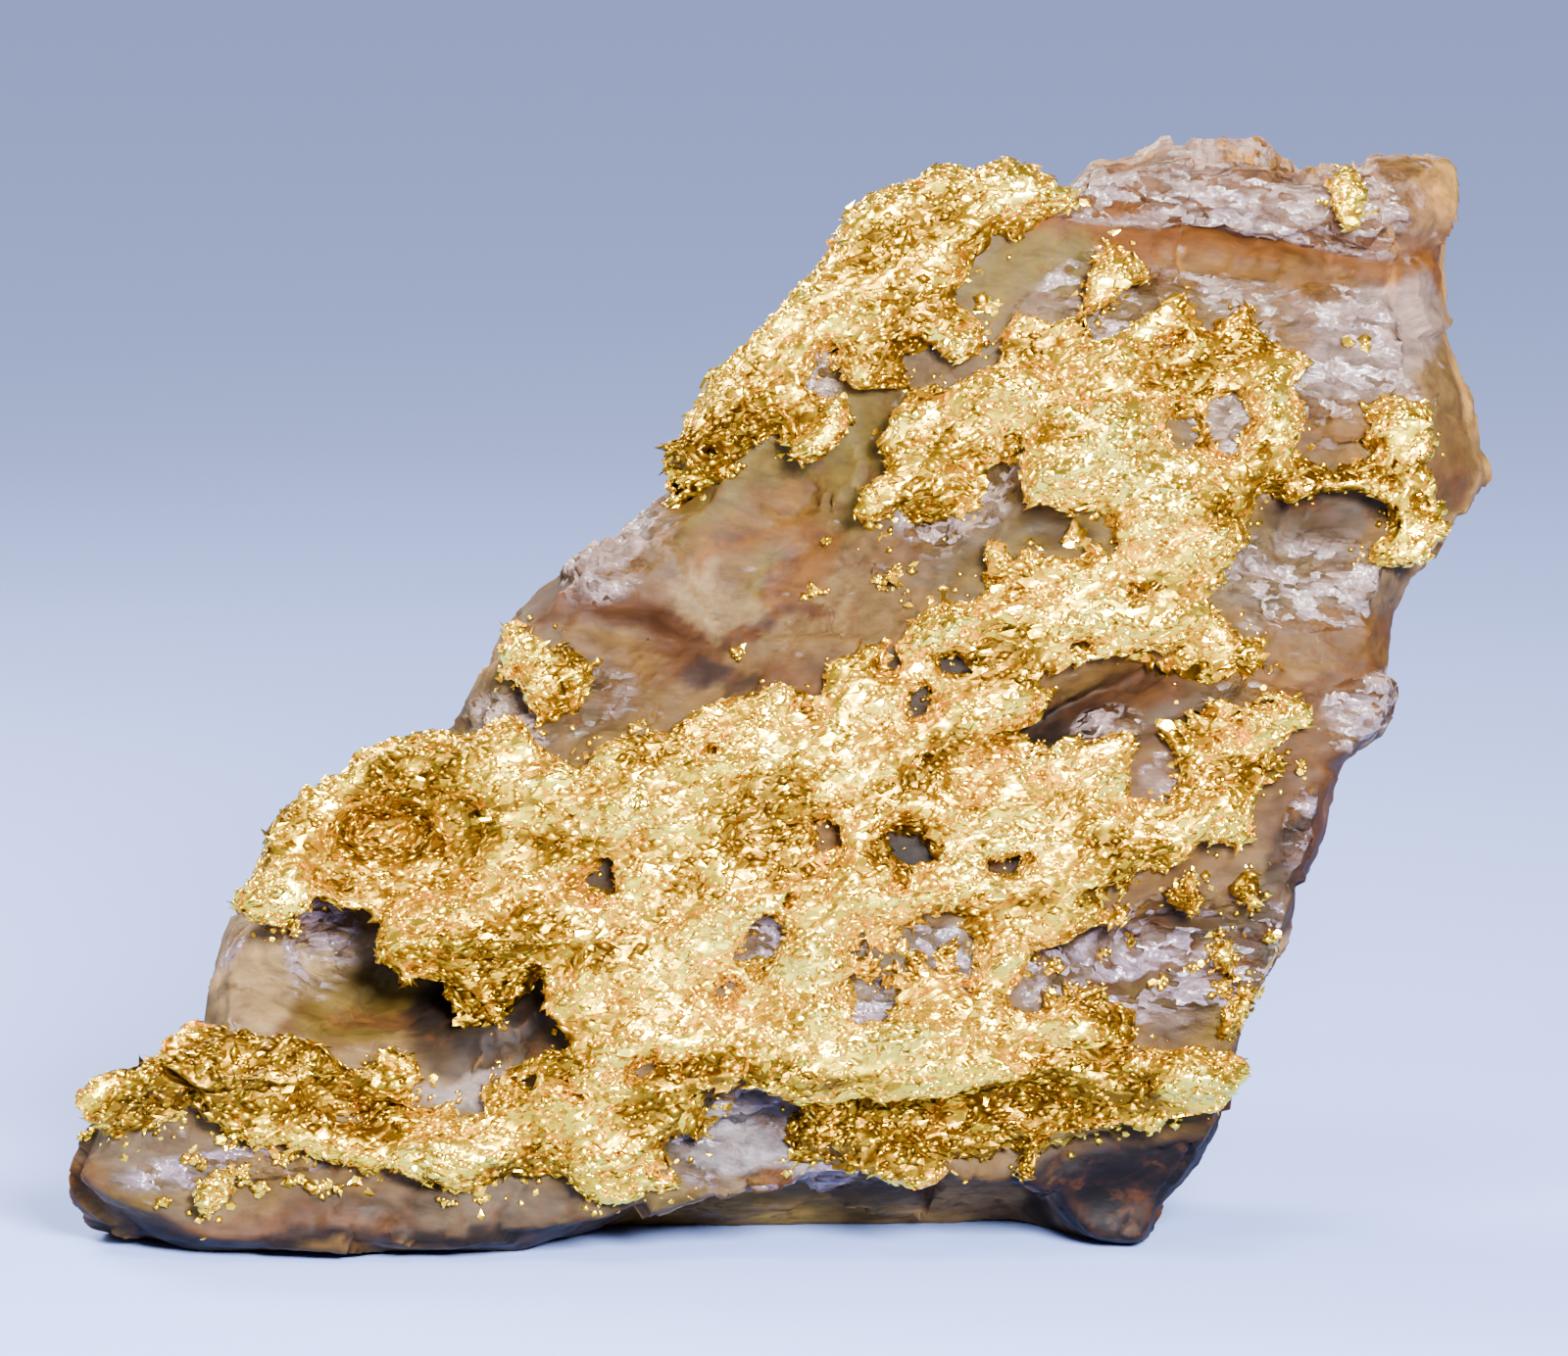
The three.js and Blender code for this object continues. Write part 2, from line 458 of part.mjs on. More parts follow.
const sheetForm = { thickness: CRUST_THICKNESS, step: CRUST_STEP };
const patchForm = { thickness: PATCH_THICKNESS, step: PATCH_STEP };
const windows = MAIN_WINDOWS.map((window) => raggedRing(...window));
const mainCrust = crust(outlinePoints(MAIN_CRUST), { windows, ...sheetForm });
const crestSheet = crust(outlinePoints(CREST_SHEET), { overhang: CREST_OVERHANG, ...sheetForm });
pieces.add(named("gold_main_crust", mainCrust, gold));
pieces.add(named("gold_crest_sheet", crestSheet, gold));
pieces.add(named("gold_patch_left", crust(outlinePoints(LEFT_PATCH), patchForm), gold));
pieces.add(named("gold_patch_top", crust(outlinePoints(TOP_PATCH), patchForm), gold));
SMALL_PATCHES.forEach(([name, ...ring]) => {
  pieces.add(named(name, crust(raggedRing(...ring), patchForm), gold));
});

// The origin is the middle of the specimen's box, at table height.
const box = new THREE.Box3().setFromObject(pieces);
const middle = box.getCenter(new THREE.Vector3());
pieces.position.set(-middle.x, -middle.y, -box.min.z);

const specimen = new THREE.Group();
specimen.name = "gold_on_quartz_specimen";
specimen.add(pieces);
export default specimen;
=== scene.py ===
"""The gold-on-quartz hand specimen: fine surfaces of the broken quartz and of the granular gold that
covers its front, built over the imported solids. Shapes are worked out in mm and placed in metres."""

import math

import bpy
import numpy as np
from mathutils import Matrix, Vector
from mathutils.bvhtree import BVHTree
from mathutils.kdtree import KDTree


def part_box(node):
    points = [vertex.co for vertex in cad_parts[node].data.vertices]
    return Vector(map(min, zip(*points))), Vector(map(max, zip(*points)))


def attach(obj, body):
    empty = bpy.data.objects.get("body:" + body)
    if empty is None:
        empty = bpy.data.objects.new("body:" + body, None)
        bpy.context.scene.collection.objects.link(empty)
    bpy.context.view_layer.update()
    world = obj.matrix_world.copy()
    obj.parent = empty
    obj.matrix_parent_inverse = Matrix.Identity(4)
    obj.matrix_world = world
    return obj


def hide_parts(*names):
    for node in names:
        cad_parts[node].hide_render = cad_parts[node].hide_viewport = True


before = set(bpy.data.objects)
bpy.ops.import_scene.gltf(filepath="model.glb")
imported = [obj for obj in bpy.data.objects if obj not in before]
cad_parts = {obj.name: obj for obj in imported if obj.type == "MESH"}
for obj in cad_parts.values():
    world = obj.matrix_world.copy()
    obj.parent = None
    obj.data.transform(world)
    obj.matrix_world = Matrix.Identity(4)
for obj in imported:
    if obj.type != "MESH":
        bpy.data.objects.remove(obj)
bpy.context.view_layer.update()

MM = 0.001
# Places on the front face are given as x, z in mm from the middle between its toe and its corner. The
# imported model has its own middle, found from the main crust's left end.
CRUST_LEFT_END = -11.95
SHIFT_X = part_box("gold_main_crust")[0].x / MM - CRUST_LEFT_END

# ---- arrays and meshes ----


def arrays_of(obj):
    """Vertices, in the object's own units, and triangles of its evaluated mesh."""
    evaluated = obj.evaluated_get(bpy.context.evaluated_depsgraph_get())
    mesh = evaluated.to_mesh()
    mesh.calc_loop_triangles()
    vertices = np.empty(len(mesh.vertices) * 3)
    mesh.vertices.foreach_get("co", vertices)
    triangles = np.empty(len(mesh.loop_triangles) * 3, np.int64)
    mesh.loop_triangles.foreach_get("vertices", triangles)
    evaluated.to_mesh_clear()
    return vertices.reshape(-1, 3), triangles.reshape(-1, 3)


def new_object(name, vertices, triangles, smooth=False):
    """A mesh object of triangles, given in mm. Smooth is for all or for each."""
    mesh = bpy.data.meshes.new(name)
    mesh.vertices.add(len(vertices))
    mesh.vertices.foreach_set("co", np.asarray(vertices * MM, np.float32).ravel())
    mesh.loops.add(len(triangles) * 3)
    mesh.loops.foreach_set("vertex_index", np.asarray(triangles, np.int32).ravel())
    mesh.polygons.add(len(triangles))
    mesh.polygons.foreach_set("loop_start", np.arange(0, len(triangles) * 3, 3, dtype=np.int32))
    mesh.polygons.foreach_set("use_smooth", np.broadcast_to(smooth, len(triangles)).astype(bool))
    mesh.update(calc_edges=True)
    mesh.validate()
    obj = bpy.data.objects.new(name, mesh)
    bpy.context.scene.collection.objects.link(obj)
    return obj


def welded(vertices, triangles):
    """The same faces with vertices at one place merged, and collapsed faces dropped."""
    places, index = np.unique(np.round(vertices, 4), axis=0, return_inverse=True)
    faces = index.reshape(-1)[triangles]
    sound = (faces[:, 0] != faces[:, 1]) & (faces[:, 1] != faces[:, 2]) & (faces[:, 0] != faces[:, 2])
    return places, faces[sound]


def node_arrays(name):
    vertices, triangles = arrays_of(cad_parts[name])
    return welded(vertices / MM, triangles)


def remeshed(vertices, triangles, voxel):
    """An even closed mesh over the same form, with faces about one voxel across. It is worked out
    with one unit for one mm."""
    source = new_object("remesh_source", vertices / MM, triangles)
    modifier = source.modifiers.new("even", "REMESH")
    modifier.mode = "VOXEL"
    modifier.voxel_size = voxel
    bpy.context.view_layer.update()
    even = arrays_of(source)
    bpy.data.objects.remove(source)
    return even


def smoothed(vertices, triangles, rounds):
    """The vertices drawn halfway to the middle of their neighbours, some rounds over."""
    pairs = np.concatenate([triangles[:, [0, 1]], triangles[:, [1, 2]], triangles[:, [2, 0]]])
    edges = np.unique(np.sort(pairs, axis=1), axis=0)
    count = np.bincount(edges.ravel(), minlength=len(vertices))[:, None]
    result = vertices.copy()
    for _ in range(rounds):
        total = np.zeros_like(result)
        for axis in range(3):
            total[:, axis] = np.bincount(edges[:, 0], result[edges[:, 1], axis], len(result))
            total[:, axis] += np.bincount(edges[:, 1], result[edges[:, 0], axis], len(result))
        result += 0.5 * (total / count - result)
    return result


def unit(vectors):
    return vectors / np.maximum(np.linalg.norm(vectors, axis=-1, keepdims=True), 1e-12)


def normals_of(vertices, triangles):
    a, b, c = (vertices[triangles[:, i]] for i in range(3))
    faces = np.cross(b - a, c - a)
    result = np.zeros_like(vertices)
    for corner in range(3):
        for axis in range(3):
            result[:, axis] += np.bincount(triangles[:, corner], faces[:, axis], len(vertices))
    return unit(result)


# ---- noise ----


def ramp(value, low, high):
    share = np.clip((value - low) / (high - low), 0, 1)
    return share * share * (3 - 2 * share)


def hashed(cells, seed):
    """A number from 0 to 1 for each whole-number cell."""
    with np.errstate(over="ignore"):
        x, y, z = (cells[..., i].astype(np.int64).astype(np.uint32) for i in range(3))
        h = x * np.uint32(374761393) + y * np.uint32(668265263) + z * np.uint32(2147483647)
        h += np.uint32(seed * 144665 + 1013904223)
        h = (h ^ (h >> np.uint32(13))) * np.uint32(1274126177)
        h = (h ^ (h >> np.uint32(16))) * np.uint32(2246822519)
        h ^= h >> np.uint32(15)
    return h.astype(np.float64) / 4294967295.0


def value_noise(points, size, seed):
    """Smooth noise from -1 to 1 whose lumps are about size across."""
    place = points / size
    cell = np.floor(place)
    share = place - cell
    share = share * share * (3 - 2 * share)
    total = np.zeros(len(points))
    for corner in np.ndindex(2, 2, 2):
        weight = np.ones(len(points))
        for axis in range(3):
            weight *= share[:, axis] if corner[axis] else 1 - share[:, axis]
        total += weight * hashed(cell + corner, seed)
    return total * 2 - 1


def fractal_noise(points, size, seed, octaves=3):
    total = np.zeros(len(points))
    height = 1.0
    for octave in range(octaves):
        total += height * value_noise(points, size / 2**octave, seed + octave)
        height *= 0.5
    return total


def nearest_cells(points, size, seed):
    """For each point: its distance to the nearest and second nearest of scattered seeds, in units of
    size, the vector from the nearest, and that seed's cell."""
    place = points / size
    home = np.floor(place)
    first, second = np.full((2, len(points)), 9.0)
    away = np.zeros_like(points)
    owner = np.zeros_like(points)
    for step in np.ndindex(3, 3, 3):
        cell = home + np.array(step) - 1
        seed_place = cell + np.stack([hashed(cell, seed + axis) for axis in range(3)], axis=1)
        vector = place - seed_place
        distance = np.linalg.norm(vector, axis=1)
        closer = distance < first
        second = np.where(closer, first, np.minimum(second, distance))
        away[closer] = vector[closer]
        owner[closer] = cell[closer]
        first = np.where(closer, distance, first)
    return first, second, away, owner


def tilted_facets(points, normals, size, seed):
    """A surface broken into facets, each a plane tilted its own way: the height, and each facet's own
    number from 0 to 1."""
    _, _, away, owner = nearest_cells(points, size, seed)
    tilt = np.stack([hashed(owner, seed + 11 + axis) - 0.5 for axis in range(3)], axis=1)
    tilt -= normals * np.sum(tilt * normals, axis=1, keepdims=True)
    height = np.sum(away * tilt, axis=1) + 0.4 * (hashed(owner, seed + 17) - 0.5)
    return height * size, hashed(owner, seed + 23)


def warped(points, reach, size, seed):
    """Points moved about by smooth noise, so that what is built on them gets ragged edges."""
    moves = [fractal_noise(points + 31 * axis, size, seed, 2) for axis in range(3)]
    return points + reach * np.stack(moves, axis=1)


def along_direction(points, turn, stretch):
    """Points turned about the y axis and pressed together along x, so that patterns run that way."""
    angle = math.radians(turn)
    along = points[:, 0] * math.cos(angle) + points[:, 2] * math.sin(angle)
    up = points[:, 2] * math.cos(angle) - points[:, 0] * math.sin(angle)
    return np.stack([along / stretch, points[:, 1], up], axis=1)


# ---- the quartz ----

QUARTZ_VOXEL = 0.118  # mm between the block's vertices
# Facets broken into the quartz: their size in mm, and their relief as a share of it.
FACE_SIZE, FACE_RELIEF = 3.2, 0.22
CHIP_SIZE, CHIP_RELIEF = 1.4, 0.2
NICK_SIZE, NICK_RELIEF = 0.55, 0.1
PLATE_SIZE, SLIVER_SIZE, FLAKE_RELIEF = 0.75, 0.32, 0.42


def on_face(points, x, z, along, across, turn):
    """How strongly each point belongs to an oval place on the front face, from 1 in its middle to 0. A
    place is x, z, reach along and across in mm, and turn in degrees."""
    angle = math.radians(turn)
    dx = points[:, 0] - x - SHIFT_X
    dz = points[:, 2] - z
    p = (dx * math.cos(angle) + dz * math.sin(angle)) / along
    q = (dz * math.cos(angle) - dx * math.sin(angle)) / across
    return np.exp(-(p * p + q * q))


# Forms that the gold and the quartz under it share: place, depth in mm.
SHARED_FORMS = [
    (-6.7, 7.2, 1.7, 0.75, -12, 0.8),
    (3.1, 13.3, 1.1, 0.5, 50, 0.35),
    (4.6, 12.5, 0.8, 0.3, 0, 0.35),
    (4.9, 9.45, 1.9, 0.35, 25, 0.45),
    (-2.7, 10.75, 1.9, 0.3, -20, 0.35),
]


def pushed_in(vertices, forms):
    """How far each point goes back where forms are placed on the front face."""
    depth = np.zeros(len(vertices))
    for x, z, along, across, turn, deep in forms:
        depth += deep * on_face(vertices, x, z, along, across, turn)
    return depth


# Places where the quartz is broken into thin glossy flakes.
FLAKY_PLACES = [
    (8.2, 18.0, 4.0, 1.0, -4), (10.8, 18.2, 1.2, 0.7, 0), (9.9, 15.4, 1.7, 1.4, -10),
    (6.6, 16.4, 2.2, 0.5, 15), (9.0, 11.5, 1.9, 0.8, -8), (10.0, 9.4, 0.9, 0.7, 20),
    (6.6, 5.2, 2.2, 1.1, 5), (8.9, 7.3, 0.4, 0.8, -10), (3.0, 13.2, 1.3, 0.8, 50),
    (-2.9, 11.9, 1.0, 0.5, 35), (-4.0, 9.4, 1.4, 0.6, 15), (-0.6, 2.2, 1.4, 0.8, 0),
    (0.6, 1.4, 1.6, 0.4, 5), (-8.2, 5.3, 0.9, 0.8, 0), (-0.4, 5.4, 0.7, 0.7, 0),
    (1.9, 5.0, 1.3, 0.8, 0), (8.0, 9.6, 1.0, 0.4, 10), (7.6, 14.3, 0.8, 0.8, 0),
    (-9.2, 1.7, 1.8, 0.3, 8), (0.5, 15.0, 0.5, 0.9, 0), (4.8, 16.6, 1.1, 0.3, 35),
    (2.9, 17.3, 0.5, 0.3, 10), (5.5, 9.1, 0.6, 0.3, 15), (6.5, 8.3, 0.45, 0.4, 0),
]
# Places where it is smooth and translucent instead.
SMOOTH_PLACES = [
    (7.8, 17.05, 4.0, 0.36, -8), (0.1, 12.9, 2.5, 1.15, 48), (-1.3, 11.2, 1.3, 0.6, -20),
    (9.3, 10.3, 1.7, 0.5, 10), (-9.2, 4.7, 0.8, 1.2, 0), (-5.3, 3.1, 1.1, 0.5, 0),
    (3.3, 16.6, 0.9, 0.25, 20), (-9.0, 0.6, 3.0, 0.35, 5), (-5.2, 4.6, 1.6, 0.8, 0),
    (9.3, 13.9, 0.9, 0.5, 0), (7.0, 5.75, 0.9, 0.14, -5), (6.0, 4.8, 0.9, 0.16, 8),
]
LAYERING = {"turn": -10, "stretch": 2.8}  # the flakes lie along the quartz's layering


def right_face(vertices, normals):
    """The smooth translucent face on the upper right side, 1 on it and 0 off it."""
    corner = ramp(vertices[:, 0], 7.0, 9.0) * ramp(vertices[:, 2], 9.5, 11.5)
    return ramp(normals[:, 0], 0.6, 0.85) * corner


def uneven_end(vertices, normals):
    """By how many mm the front's look ends further back or forward on each part of the sides."""
    return 2.2 * fractal_noise(vertices, 1.7, 311) * ramp(np.abs(normals[:, 0]), 0.3, 0.6)


def flakiness(vertices, normals):
    """How flaky each point is, from 0 to 1: by the places above in front, by chance elsewhere."""
    share = np.zeros(len(vertices))
    for place in FLAKY_PLACES:
        share = np.maximum(share, on_face(vertices, *place))
    for place in SMOOTH_PLACES:
        share *= 1 - ramp(on_face(vertices, *place), 0.3, 0.7)
    front = ramp(-vertices[:, 1] + uneven_end(vertices, normals), -1.0, 1.0)
    to_the_right = normals[:, 0]
    share *= 1 - ramp(to_the_right, 0.5, 0.8) * ramp(fractal_noise(vertices, 1.4, 307), -0.35, 0.25)
    elsewhere = 0.75 * ramp(fractal_noise(vertices, 4.2, 301), -0.1, 0.5)
    elsewhere *= 1 - 0.8 * ramp(to_the_right, 0.3, 0.7)
    flaky = ramp(share, 0.12, 0.7) * front + elsewhere * (1 - 0.75 * front)
    return np.clip(flaky, 0, 1) * (1 - right_face(vertices, normals))


def quartz_surface():
    """The broken block: big fracture faces, chips on them, and ragged flakes where it is flaky. Gives
    the mesh, how flaky it is and how white each flake."""
    vertices, triangles = remeshed(*node_arrays("quartz_matrix"), QUARTZ_VOXEL)
    vertices = smoothed(vertices, triangles, 4)
    normals = normals_of(vertices, triangles)
    high = vertices[:, 2]
    seated = ramp(high, 0.02, 0.5)
    flaky = flakiness(vertices, normals)

    layered = warped(along_direction(vertices, **LAYERING), 0.12, 0.5, 5)
    plates, plate_number = tilted_facets(layered, normals, PLATE_SIZE, 131)
    slivers, sliver_number = tilted_facets(warped(layered, 0.05, 0.2, 9), normals, SLIVER_SIZE, 151)
    faces, _ = tilted_facets(warped(vertices, 0.5, 2.6, 61), normals, FACE_SIZE, 3)
    chips, chip_number = tilted_facets(warped(vertices, 0.16, 0.7, 77), normals, CHIP_SIZE, 29)
    nicks, _ = tilted_facets(vertices, normals, NICK_SIZE, 41)

    relief = FACE_RELIEF * faces + CHIP_RELIEF * chips + NICK_RELIEF * nicks
    relief += flaky * (FLAKE_RELIEF * plates + FLAKE_RELIEF * slivers)
    relief += 0.02 * fractal_noise(vertices, 0.3, 53)
    pushed = ramp(-normals[:, 1], 0.0, 0.5) * pushed_in(vertices, SHARED_FORMS)
    vertices = vertices + normals * (relief * seated)[:, None]
    vertices[:, 1] += pushed
    vertices[high < 0.02, 2] = 0.0
    whiteness = 0.5 * plate_number + 0.5 * sliver_number + 0.15 * (chip_number - 0.5)
    return vertices, triangles, flaky, whiteness


quartz_vertices, quartz_triangles, quartz_flaky, quartz_whiteness = quartz_surface()
quartz = new_object("quartz_body", quartz_vertices, quartz_triangles, smooth=True)
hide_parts("quartz_matrix")
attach(quartz, "root")
quartz_tree = BVHTree.FromPolygons(quartz_vertices.tolist(), quartz_triangles.tolist())

# ---- the quartz's stains ----

STAIN = {
    # frost: partly milky quartz, partly painted sheen of glossy fractures in shade
    "frost_and_painted_sheen": (0.155, 0.130, 0.140),
    "pale": (0.105, 0.065, 0.025),
    "milky": (0.076, 0.045, 0.016),
    # lilac: painted sheen of glossy fractures and flakes
    "lilac_painted_sheen": (0.110, 0.074, 0.063),
    "rose": (0.050, 0.021, 0.009),
    "amber": (0.047, 0.019, 0.002),
    "orange": (0.051, 0.015, 0.001),
    "rust": (0.025, 0.008, 0.002),
    # umber: near-black painted shade, put in hollows, openings, grooves, under the lip and in the foot
    "umber_painted_shade": (0.002, 0.001, 0.001),
    "olive": (0.044, 0.027, 0.003),
    # smoky: the quartz's own smoky colour, also used as painted shade in hollows, openings and along the
    # bottom
    "smoky_and_painted_shade": (0.018, 0.010, 0.004),
    "grey": (0.038, 0.024, 0.012),
    "sand": (0.045, 0.022, 0.005),
}
# The front's own stains, each over the ones before: stain, place, strength. The umber and many smoky
# ones are painted shade in hollows, openings, grooves, under the lip and in the foot; the frost and
# lilac ones are partly painted sheen.
FRONT_STAINS = [
    ("rose", 8.2, 17.9, 3.8, 1.2, -4, 0.9),
    ("sand", 11.0, 18.1, 0.9, 0.7, 0, 0.6),
    ("orange", 8.0, 17.0, 4.0, 0.5, -8, 0.95),
    ("orange", 5.3, 17.6, 0.9, 0.6, 20, 0.7),
    ("olive", 3.8, 16.7, 1.5, 0.5, 20, 0.9),
    ("lilac_painted_sheen", 2.9, 17.3, 0.45, 0.25, 10, 0.7),
    ("amber", 8.6, 16.5, 2.6, 0.5, -8, 0.8),
    ("lilac_painted_sheen", 10.0, 15.5, 1.3, 0.9, 25, 0.6),
    ("amber", 9.2, 14.2, 1.0, 0.5, 0, 0.8),
    ("grey", 7.6, 14.4, 0.9, 0.8, 0, 0.8),
    ("smoky_and_painted_shade", 9.3, 12.7, 1.3, 0.6, 0, 0.95),
    ("grey", 9.0, 11.5, 1.9, 0.8, -10, 0.7),
    ("amber", 9.4, 10.4, 1.8, 0.5, 10, 0.95),
    ("rust", 9.4, 10.5, 1.9, 0.5, 10, 0.35),
    ("milky", 8.7, 10.3, 0.5, 0.3, 10, 0.25),
    ("rust", 9.0, 9.7, 1.4, 0.4, 15, 0.7),
    ("rust", 8.9, 7.6, 0.8, 1.2, -10, 0.6),
    ("umber_painted_shade", 8.7, 6.0, 0.7, 1.8, -10, 0.75),
    ("smoky_and_painted_shade", 6.6, 5.2, 2.2, 1.0, 5, 0.75),
    ("rust", 5.7, 4.75, 0.8, 0.25, 8, 0.9),
    ("rust", 6.2, 5.75, 0.7, 0.2, 0, 0.8),
    ("umber_painted_shade", 6.0, 0.9, 2.8, 1.4, 8, 1.0),
    ("smoky_and_painted_shade", 0.2, 13.2, 2.6, 1.3, 48, 0.25),
    ("olive", 0.2, 13.2, 2.6, 1.3, 48, 0.85),
    ("amber", -0.5, 12.4, 1.4, 0.6, 40, 0.9),
    ("orange", -0.6, 12.1, 0.9, 0.2, 35, 0.6),
    ("orange", 0.3, 11.9, 0.9, 0.5, 60, 0.8),
    ("milky", -1.25, 11.15, 0.85, 0.55, -20, 0.95),
    ("sand", 1.3, 11.0, 1.0, 0.6, 30, 0.7),
    ("rust", -0.2, 10.9, 1.1, 0.16, 22, 0.95),
    ("rust", -0.1, 11.5, 0.3, 0.3, 0, 0.7),
    ("lilac_painted_sheen", -2.9, 12.0, 0.7, 0.35, 35, 0.9),
    ("rust", -3.3, 11.1, 1.2, 0.34, -8, 0.9),
    ("rust", -1.7, 10.5, 1.1, 0.32, -28, 0.9),
    ("umber_painted_shade", -0.9, 10.05, 0.7, 0.22, -20, 0.7),
    ("smoky_and_painted_shade", -4.0, 9.5, 1.6, 0.7, 15, 0.7),
    ("olive", -5.0, 9.6, 0.6, 0.9, 0, 0.7),
    ("smoky_and_painted_shade", 3.5, 12.9, 1.6, 0.6, 50, 0.6),
    ("smoky_and_painted_shade", 4.7, 12.5, 0.8, 0.4, 0, 0.9),
    ("umber_painted_shade", -1.2, 14.3, 1.7, 0.25, 52, 0.8),
    ("pale", -9.1, 4.7, 0.9, 1.1, 0, 0.8),
    ("pale", -7.6, 4.9, 1.3, 0.8, 0, 0.8),
    ("smoky_and_painted_shade", -5.3, 4.6, 1.8, 0.9, -5, 0.9),
    ("olive", -7.3, 4.3, 1.1, 0.5, 0, 0.8),
    ("umber_painted_shade", -4.9, 4.1, 1.6, 0.75, 8, 0.8),
    ("frost_and_painted_sheen", -5.2, 3.0, 0.95, 0.36, 0, 0.4),
    ("grey", -10.8, 1.9, 1.5, 0.8, 0, 0.8),
    ("amber", -12.0, 1.5, 0.5, 0.4, 0, 0.8),
    ("smoky_and_painted_shade", -7.0, 0.7, 4.5, 0.5, 3, 0.95),
    ("orange", -9.2, 0.6, 1.3, 0.45, 5, 0.4),
    ("rust", -7.6, 0.6, 1.8, 0.4, 0, 0.6),
    ("grey", -4.4, 0.9, 1.9, 0.35, 8, 0.6),
    ("smoky_and_painted_shade", -0.6, 2.2, 2.2, 0.9, 0, 0.8),
    ("frost_and_painted_sheen", -0.5, 2.3, 1.3, 0.7, 0, 0.5),
    ("frost_and_painted_sheen", 0.9, 1.75, 1.8, 0.3, 0, 0.65),
    ("orange", 0.4, 1.4, 0.9, 0.18, 5, 0.9),
    ("grey", 1.4, 5.2, 2.6, 0.9, 0, 0.85),
    ("umber_painted_shade", -3.1, 6.6, 0.5, 0.5, 0, 0.8),
    ("umber_painted_shade", 2.9, 7.0, 1.6, 0.5, 0, 0.9),
    ("umber_painted_shade", 2.6, 10.0, 1.6, 0.8, 0, 0.9),
    ("smoky_and_painted_shade", 6.1, 9.3, 1.8, 0.6, 10, 0.8),
    ("umber_painted_shade", 4.4, 8.9, 1.2, 0.35, 25, 0.85),
    ("rust", 5.9, 9.6, 1.4, 0.3, 20, 0.6),
    ("rust", 7.0, 4.9, 1.1, 0.3, 5, 0.8),
    ("rust", 8.1, 5.6, 0.5, 0.25, 20, 0.7),
    ("umber_painted_shade", -9.4, 0.35, 2.6, 0.22, 0, 0.8),
    ("umber_painted_shade", -4.9, 0.35, 2.2, 0.22, 0, 0.8),
    ("umber_painted_shade", 8.4, 0.9, 1.9, 1.1, 0, 1.0),
    ("rust", 9.3, 6.8, 0.5, 1.9, -12, 0.55),
    ("smoky_and_painted_shade", 2.0, 0.6, 2.2, 0.4, 0, 0.9),
]

# Broad stains by chance: stain, size in mm, seed, the noise at which it starts and is full, strength.
BROAD_STAINS = [
    ("grey", 5.0, 7, 0.0, 0.9, 0.8),
    ("olive", 4.0, 19, 0.0, 0.8, 0.7),
    ("amber", 3.4, 23, 0.0, 0.8, 0.9),
    ("milky", 3.0, 27, 0.35, 0.95, 0.7),
    ("rust", 2.2, 31, 0.35, 0.95, 0.8),
]
DEEPER = 0.77  # all the stains are taken this much darker
PALER_BEHIND = 2.9  # painted light: the sides and back, which get less light, are painted this much paler than the front


def mixed(colour, other, share):
    return colour + (np.array(other) - colour) * np.clip(share, 0, 1)[:, None]


def quartz_colours(vertices, normals, flaky, whiteness):
    """Broad stains by chance, then the front's own, among them painted shade and sheen, rusty cracks,
    and pale flakes that are partly painted sheen; the sides and back are painted paler, as painted
    light.
    """
    colour = np.tile(STAIN["sand"], (len(vertices), 1)).astype(float)
    for stain, size, seed, start, full, strength in BROAD_STAINS:
        share = ramp(fractal_noise(vertices, size, seed), start, full)
        colour = mixed(colour, STAIN[stain], share * strength)
    colour = mixed(colour, STAIN["sand"], right_face(vertices, normals) * 0.8)
    foot = ramp(vertices[:, 0], 4, 6) * (1 - ramp(vertices[:, 2], 3.0, 4.5))
    colour = mixed(colour, STAIN["rust"], foot * ramp(normals[:, 0], 0.1, 0.5) * 0.7)
    front = ramp(-vertices[:, 1] + uneven_end(vertices, normals), -0.5, 1.3)
    front *= ramp(-normals[:, 1], -0.7, -0.1)
    wander = warped(warped(vertices, 0.32, 1.0, 61), 0.1, 0.28, 67) - vertices
    for stain, x, z, along, across, turn, strength in FRONT_STAINS:
        share = on_face(vertices + wander, x, z, along, across, turn)
        colour = mixed(colour, STAIN[stain], front * strength * ramp(share, 0.28, 0.5))
    nearest, second, _, _ = nearest_cells(vertices + wander, 1.3, 37)
    crack = 1 - ramp(second - nearest, 0.0, 0.09)
    colour = mixed(colour, STAIN["rust"], crack * 0.4 * ramp(value_noise(vertices, 3.0, 43), -0.1, 0.6))
    flakes = flaky * ramp(whiteness, 0.5, 0.62) * (0.45 + 0.55 * ramp(whiteness, 0.5, 0.8))
    # The flakes are paled with lilac, as painted sheen.
    colour = mixed(colour, STAIN["lilac_painted_sheen"], 0.4 * flakes)
    colour *= (1 - 0.3 * flaky * (1 - ramp(whiteness, 0.2, 0.4)))[:, None]
    # Painted light: paler away from the front, where less light falls.
    return colour * DEEPER * (1 + PALER_BEHIND * (1 - front))[:, None]


def paint(obj, name, colours):
    layer = obj.data.color_attributes.new(name, "FLOAT_COLOR", "POINT")
    rgba = np.ones((len(colours), 4), np.float32)
    rgba[:, :3] = colours
    layer.data.foreach_set("color", rgba.ravel())


quartz_normals = normals_of(quartz_vertices, quartz_triangles)
paint(quartz, "stain", quartz_colours(quartz_vertices, quartz_normals, quartz_flaky, quartz_whiteness))
paint(quartz, "flaky", quartz_flaky[:, None])

# ---- the gold ----

